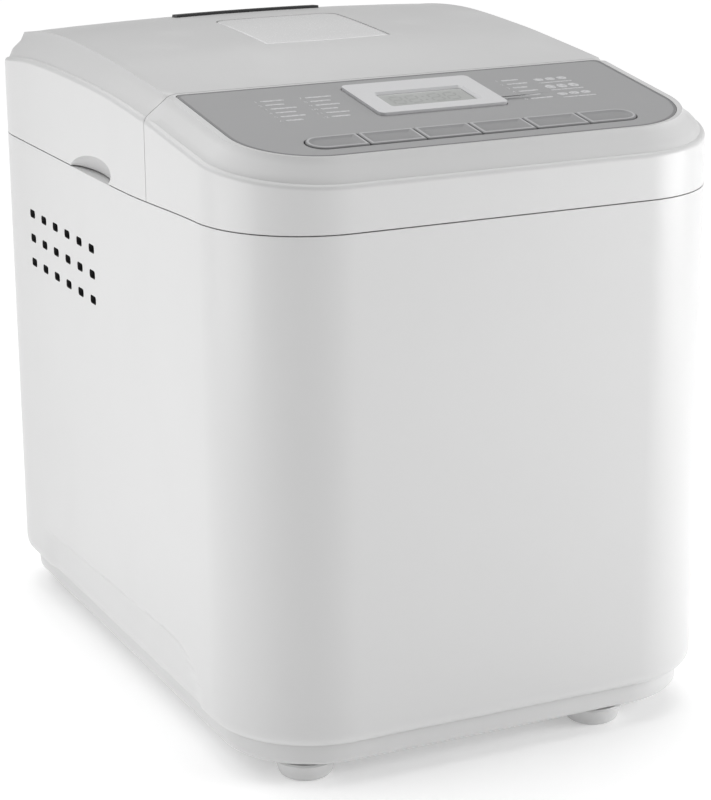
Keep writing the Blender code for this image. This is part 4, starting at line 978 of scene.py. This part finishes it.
def keys():
    half, reach = (panel["keyPitch"] - panel["keyGap"]) / 2, panel["keyDepth"] / 2
    last = panel["keyCount"] - 1
    for index in range(panel["keyCount"]):
        x = (index - last / 2) * panel["keyPitch"]
        left = reach - 0.0001 if index == 0 else keyShape["corner"]
        right = reach - 0.0001 if index == last else keyShape["corner"]
        bm = stacked(keyRings(x, half, reach, (left, right, right, left)))
        # the rim's top faces get the paler finish, a painted highlight; the rest keeps the key's grey
        for face in bm.faces:
            middle = face.calc_center_median()
            face.material_index = 1 if middle.z > panel["keyRise"] - 0.00003 else 0
        flangeX, flangeV = half - keyShape["flangeInset"], keyShape["flangeReach"]
        cubeBetween(bm, (x - flangeX, panel["keyV"] - flangeV, keyShape["flangeFoot"]),
                    (x + flangeX, panel["keyV"] + flangeV, keyShape["flangeTop"]))
        cap = toPiece(bm, f"key_cap_{index + 1}", "keyGrey", f"button_{index + 1}", (f"button_{index + 1}",),
                      panelPlace)
        cap.data.materials.append(finishes["keyRimHighlight"].material)
    print("keys made:", panel["keyCount"])


lidFittings = {
    "windowX": 0.030, "windowY": (0.0035, 0.064), "windowBulge": 0.0022, "windowCorner": 0.005,
    "windowGap": 0.0006, "windowSink": 0.0001, "windowThick": 0.0026,
    "ventX": 0.0366, "ventY": 0.097, "ventHalf": 0.0026, "ventFlare": 0.0008, "ventRise": 0.0013,
    "ventThick": 0.0070, "slotX": (-0.024, 0, 0.024), "slotHalf": (0.0086, 0.0009),
}


def windowOutline(margin):
    halfWindow = lidFittings["windowX"] - margin
    front, rear = lidFittings["windowY"]
    radius = lidFittings["windowCorner"]
    bulge = [(halfWindow * t, front + margin - lidFittings["windowBulge"] * (1 - t * t))
             for t in steps(-1, 1, 14)]
    radii = (0.001, 0.001, radius, radius)
    rearCorners = roundedOutline((-halfWindow, halfWindow), (0, rear - margin), radii, 6)
    return bulge + rearCorners[14:]  # the two front corners' points are left out


def ventOutline(margin):
    reach = lidFittings["ventX"] - margin
    y, half, flare = lidFittings["ventY"], lidFittings["ventHalf"], lidFittings["ventFlare"]
    front = [(reach * t, y - half - flare * t * t + margin) for t in steps(-1, 1, 20)]
    rear = [(reach * t, y + half + flare * t * t - margin) for t in steps(-1, 1, 20)]
    return front + rear[::-1]


def fittedToLid(outline, name, finish, rise, thick, node):
    # a prism whose top follows the lid's surface, above it by rise
    bm = prism(outline, 0, 1)
    slices(bm, 1, sideStations)
    slices(bm, 0, steps(-0.03, 0.03, 8))
    for vertex in bm.verts:
        surface = topSurface(vertex.co.x, vertex.co.y) + rise
        vertex.co.z = surface if vertex.co.z > 0.5 else surface - thick
    return toPiece(bm, name, finish, "lid", (node,))


def lid():
    shell = topCover("lid_skin", "lid", False, ("lid_shell",))
    gap = panel["gap"]
    carve(shell, *[recessArch(side, recess["archBack"]) for side in (-1, 1)], how="UNION")
    tools = [recessArch(side) for side in (-1, 1)]
    tools.append(toTool(prism(windowOutline(-lidFittings["windowGap"]), *throughLid)))
    tools.append(toTool(prism(ventOutline(-gap), *throughLid)))
    carve(shell, *tools)
    softenEdges(shell, casing["edgeRounding"])

    window = fittedToLid(windowOutline(0), "lid_viewing_window", "frosted", -lidFittings["windowSink"],
                         lidFittings["windowThick"], "lid_window")
    softenEdges(window, 0.0005, 3)
    vent = fittedToLid(ventOutline(0), "steam_outlet", "darkMoulding", lidFittings["ventRise"],
                       lidFittings["ventThick"], "steam_vent")
    slots = bmesh.new()
    long, wide = lidFittings["slotHalf"]
    for x in lidFittings["slotX"]:
        cubeBetween(slots, (x - long, lidFittings["ventY"] - wide, 0.2),
                    (x + long, lidFittings["ventY"] + wide, 0.3))
    carve(vent, toTool(slots))
    softenEdges(vent, 0.0003)


hinge = {
    "knuckleRadius": 0.0046, "knuckleWidth": 0.0108, "bore": 0.0023, "pin": 0.002,
    "armTop": 0.2420, "armBend": 0.2330, "armOut": 0.0040, "armPast": 0.0020, "armInset": 0.0012,
    "armFoot": 0.0010, "rounding": 0.0004, "pinRounding": 0.0003,
}


def knuckleOutline(axisY, axisZ):
    # seen from the side: round under the pin, with an arm up the lid's rear wall
    radius = hinge["knuckleRadius"]
    arc = [(axisY + radius * cos(a), axisZ + radius * sin(a)) for a in steps(pi, 2 * pi, 18)]
    inner, foot = halfY - hinge["armInset"], lidRim + hinge["armFoot"]
    return arc + [(axisY + hinge["armOut"], hinge["armBend"]), (halfY + hinge["armPast"], hinge["armTop"]),
                  (inner, hinge["armTop"]), (inner, foot), (axisY - radius, foot)]


def hingePieces():
    for side, word in ((-1, "left"), (1, "right")):
        low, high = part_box(f"hinge_pin_{word}")
        pin = (low + high) / 2
        axisY, axisZ = pin.y - middleY, pin.z
        middle, reach = side * abs(pin.x), hinge["knuckleWidth"] / 2
        bm = prism(knuckleOutline(axisY, axisZ), middle - reach, middle + reach)
        sideways = Matrix(((0, 0, 1, 0), (1, 0, 0, 0), (0, 1, 0, 0), (0, 0, 0, 1)))
        bmesh.ops.transform(bm, matrix=sideways, verts=bm.verts)
        knuckle = toPiece(bm, f"lid_knuckle_{word}", "whiteCasing", "lid", ("lid_shell",))
        carve(knuckle, toTool(roundBar(hinge["bore"], 0.03, (middle, axisY, axisZ), "Y")))
        softenEdges(knuckle, hinge["rounding"])
        refined(f"hinge_bracket_{word}", "whiteFitting", hinge["rounding"])
        pinned = toPiece(roundBar(hinge["pin"], high.x - low.x, pin, "Y"), f"pin_{word}", "bareSteel", "base",
                         (f"hinge_pin_{word}",), Matrix.Identity(4))
        softenEdges(pinned, hinge["pinRounding"])


def refined(node, finish, rounding):
    # a copy of a CAD node, merged, smoothly shaded and given rounded edges
    bm = bmesh.new()
    bm.from_mesh(frame["nodes"][node].data)
    bmesh.ops.remove_doubles(bm, verts=bm.verts, dist=0.000002)
    bmesh.ops.dissolve_limit(bm, angle_limit=radians(1), verts=bm.verts, edges=bm.edges)
    body = body_of(frame["nodes"][node])[0]
    piece = toPiece(bm, node + "_fine", finish, body, (node,), Matrix.Identity(4))
    softenEdges(piece, rounding, 2, 40)


tray = {"rounding": 0.0022, "rim": 0.0030, "rimSlope": 0.0015, "floor": 0.0028, "screwHole": 0.0023}


def baseTray():
    low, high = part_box("base_tray")
    bm = casingBlock(low.z, high.z, halfX - high.x)
    bottom = [edge for edge in bm.edges if max(vertex.co.z for vertex in edge.verts) < low.z + 0.00001]
    roundEdges(bm, bottom, tray["rounding"], 4)
    top = max(facesTowards(bm, 2, 1), key=lambda face: face.calc_area())
    bmesh.ops.inset_region(bm, faces=[top], thickness=tray["rim"], use_even_offset=True)
    bmesh.ops.inset_region(bm, faces=[top], thickness=tray["rimSlope"], depth=low.z + tray["floor"] - high.z,
                           use_even_offset=True)
    dish = toPiece(bm, "tray", "whiteCasing", "base", ("base_tray",))
    holes = bmesh.new()
    for word in footWords:
        spot(holes, footPlace(word), tray["screwHole"], 0, 0.03)
    carve(dish, toTool(holes))
    softenEdges(dish, 0.0003)


footWords = ("front_left", "front_right", "rear_left", "rear_right")


def footPlace(word):
    low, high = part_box("foot_" + word)
    return (low.x + high.x) / 2, (low.y + high.y) / 2 - middleY


def crossOutline(reach, thin):
    # the outline of a cross recess
    quarter = [(reach, -thin), (reach, thin), (thin, thin)]
    outline = []
    for turn in range(4):
        outline += quarter
        quarter = [(-y, x) for x, y in quarter]
    return outline


# sections as (radius, height): the recess in a foot round its screw, and the screw itself
footRecess = ((0.0055, 0), (0.0048, 0.0007), (0.0048, 0.0040), (0.0023, 0.0040))
screwProfile = (
    (0, 0.0200), (0.0018, 0.0200), (0.0020, 0.0194), (0.0020, 0.0037), (0.0043, 0.0037),
    (0.0043, 0.0022), (0.0034, 0.0016), (0, 0.0014),
)
crossRecess = {"reach": 0.0022, "thin": 0.0004, "low": 0.0005, "high": 0.0027}


def feet():
    for word in footWords:
        x, y = footPlace(word)
        low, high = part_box("foot_" + word)
        wide = (high.x - low.x) / 2
        base = wide - 0.0025
        outside = [(tray["screwHole"], high.z), (wide - 0.0006, high.z), (wide, high.z - 0.0008),
                   (base + 0.0009, 0.0016), (base + 0.0004, 0.0006), (base - 0.0004, 0)]
        place = casingPlace @ Matrix.Translation((x, y, 0))
        toPiece(spun(outside + list(footRecess)), f"pad_{word}", "whiteFitting", "base", ("foot_" + word,),
                place, 40)
        screw = toPiece(spun(screwProfile, 32), f"screw_{word}", "bareSteel", "base", ("base_screw_" + word,),
                        place)
        cross = crossOutline(crossRecess["reach"], crossRecess["thin"])
        carve(screw, toTool(prism(cross, crossRecess["low"], crossRecess["high"]), place))


print("casing")
bodyShell()
controlCover()
print("control panel")
controlPanel()
displayUnit()
panelPrint()
keys()
print("lid")
lid()
hingePieces()
print("base")
baseTray()
feet()

inner = {
    # node: (finish, rounding of its edges)
    "display_module": ("darkMoulding", 0.0003), "control_board": ("circuit", 0.0001),
    "power_board": ("circuit", 0.0001), "top_frame": ("deckPlastic", 0.0005),
    "baking_chamber": ("ovenSheet", 0.0002), "heat_shield": ("ovenSheet", 0.0003),
    "heating_element": ("sheath", 0.0003), "temperature_probe": ("bareSteel", 0.0003),
    "pan_socket": ("castAluminium", 0.0005), "pan_base": ("castAluminium", 0.0006),
    "pan_bush": ("bronze", 0.0003), "chassis_plate": ("chassisSheet", 0.0003),
    "output_bearing": ("bronze", 0.0004), "drive_belt": ("rubber", 0.0002),
    "motor_stator": ("laminated", 0.0004), "motor_winding_lower": ("copper", 0.0010),
    "motor_winding_upper": ("copper", 0.0010), "motor_bracket_lower": ("castAluminium", 0.0005),
    "motor_bracket_upper": ("castAluminium", 0.0005), "run_capacitor": ("bareSteel", 0.0008),
    "cord_gland": ("darkMoulding", 0.0006), "lid_liner": ("linerSheet", 0.0004),
    "inner_glass": ("innerGlass", 0.0004), "pan_handle": ("bareSteel", 0.0004),
    "pan_shaft": ("bareSteel", 0.0003), "kneading_paddle": ("nonstick", 0.0006),
    "output_shaft": ("bareSteel", 0.0003), "driven_pulley": ("darkMoulding", 0.0003),
    "motor_rotor": ("bareSteel", 0.0003), "motor_pulley": ("castAluminium", 0.0003),
    "cooling_fan": ("fanNylon", 0.0003), "bread_pan": ("nonstick", 0.0006),
}
for node, (finish, rounding) in inner.items():
    refined(node, finish, rounding)
print("inner pieces:", len(inner))
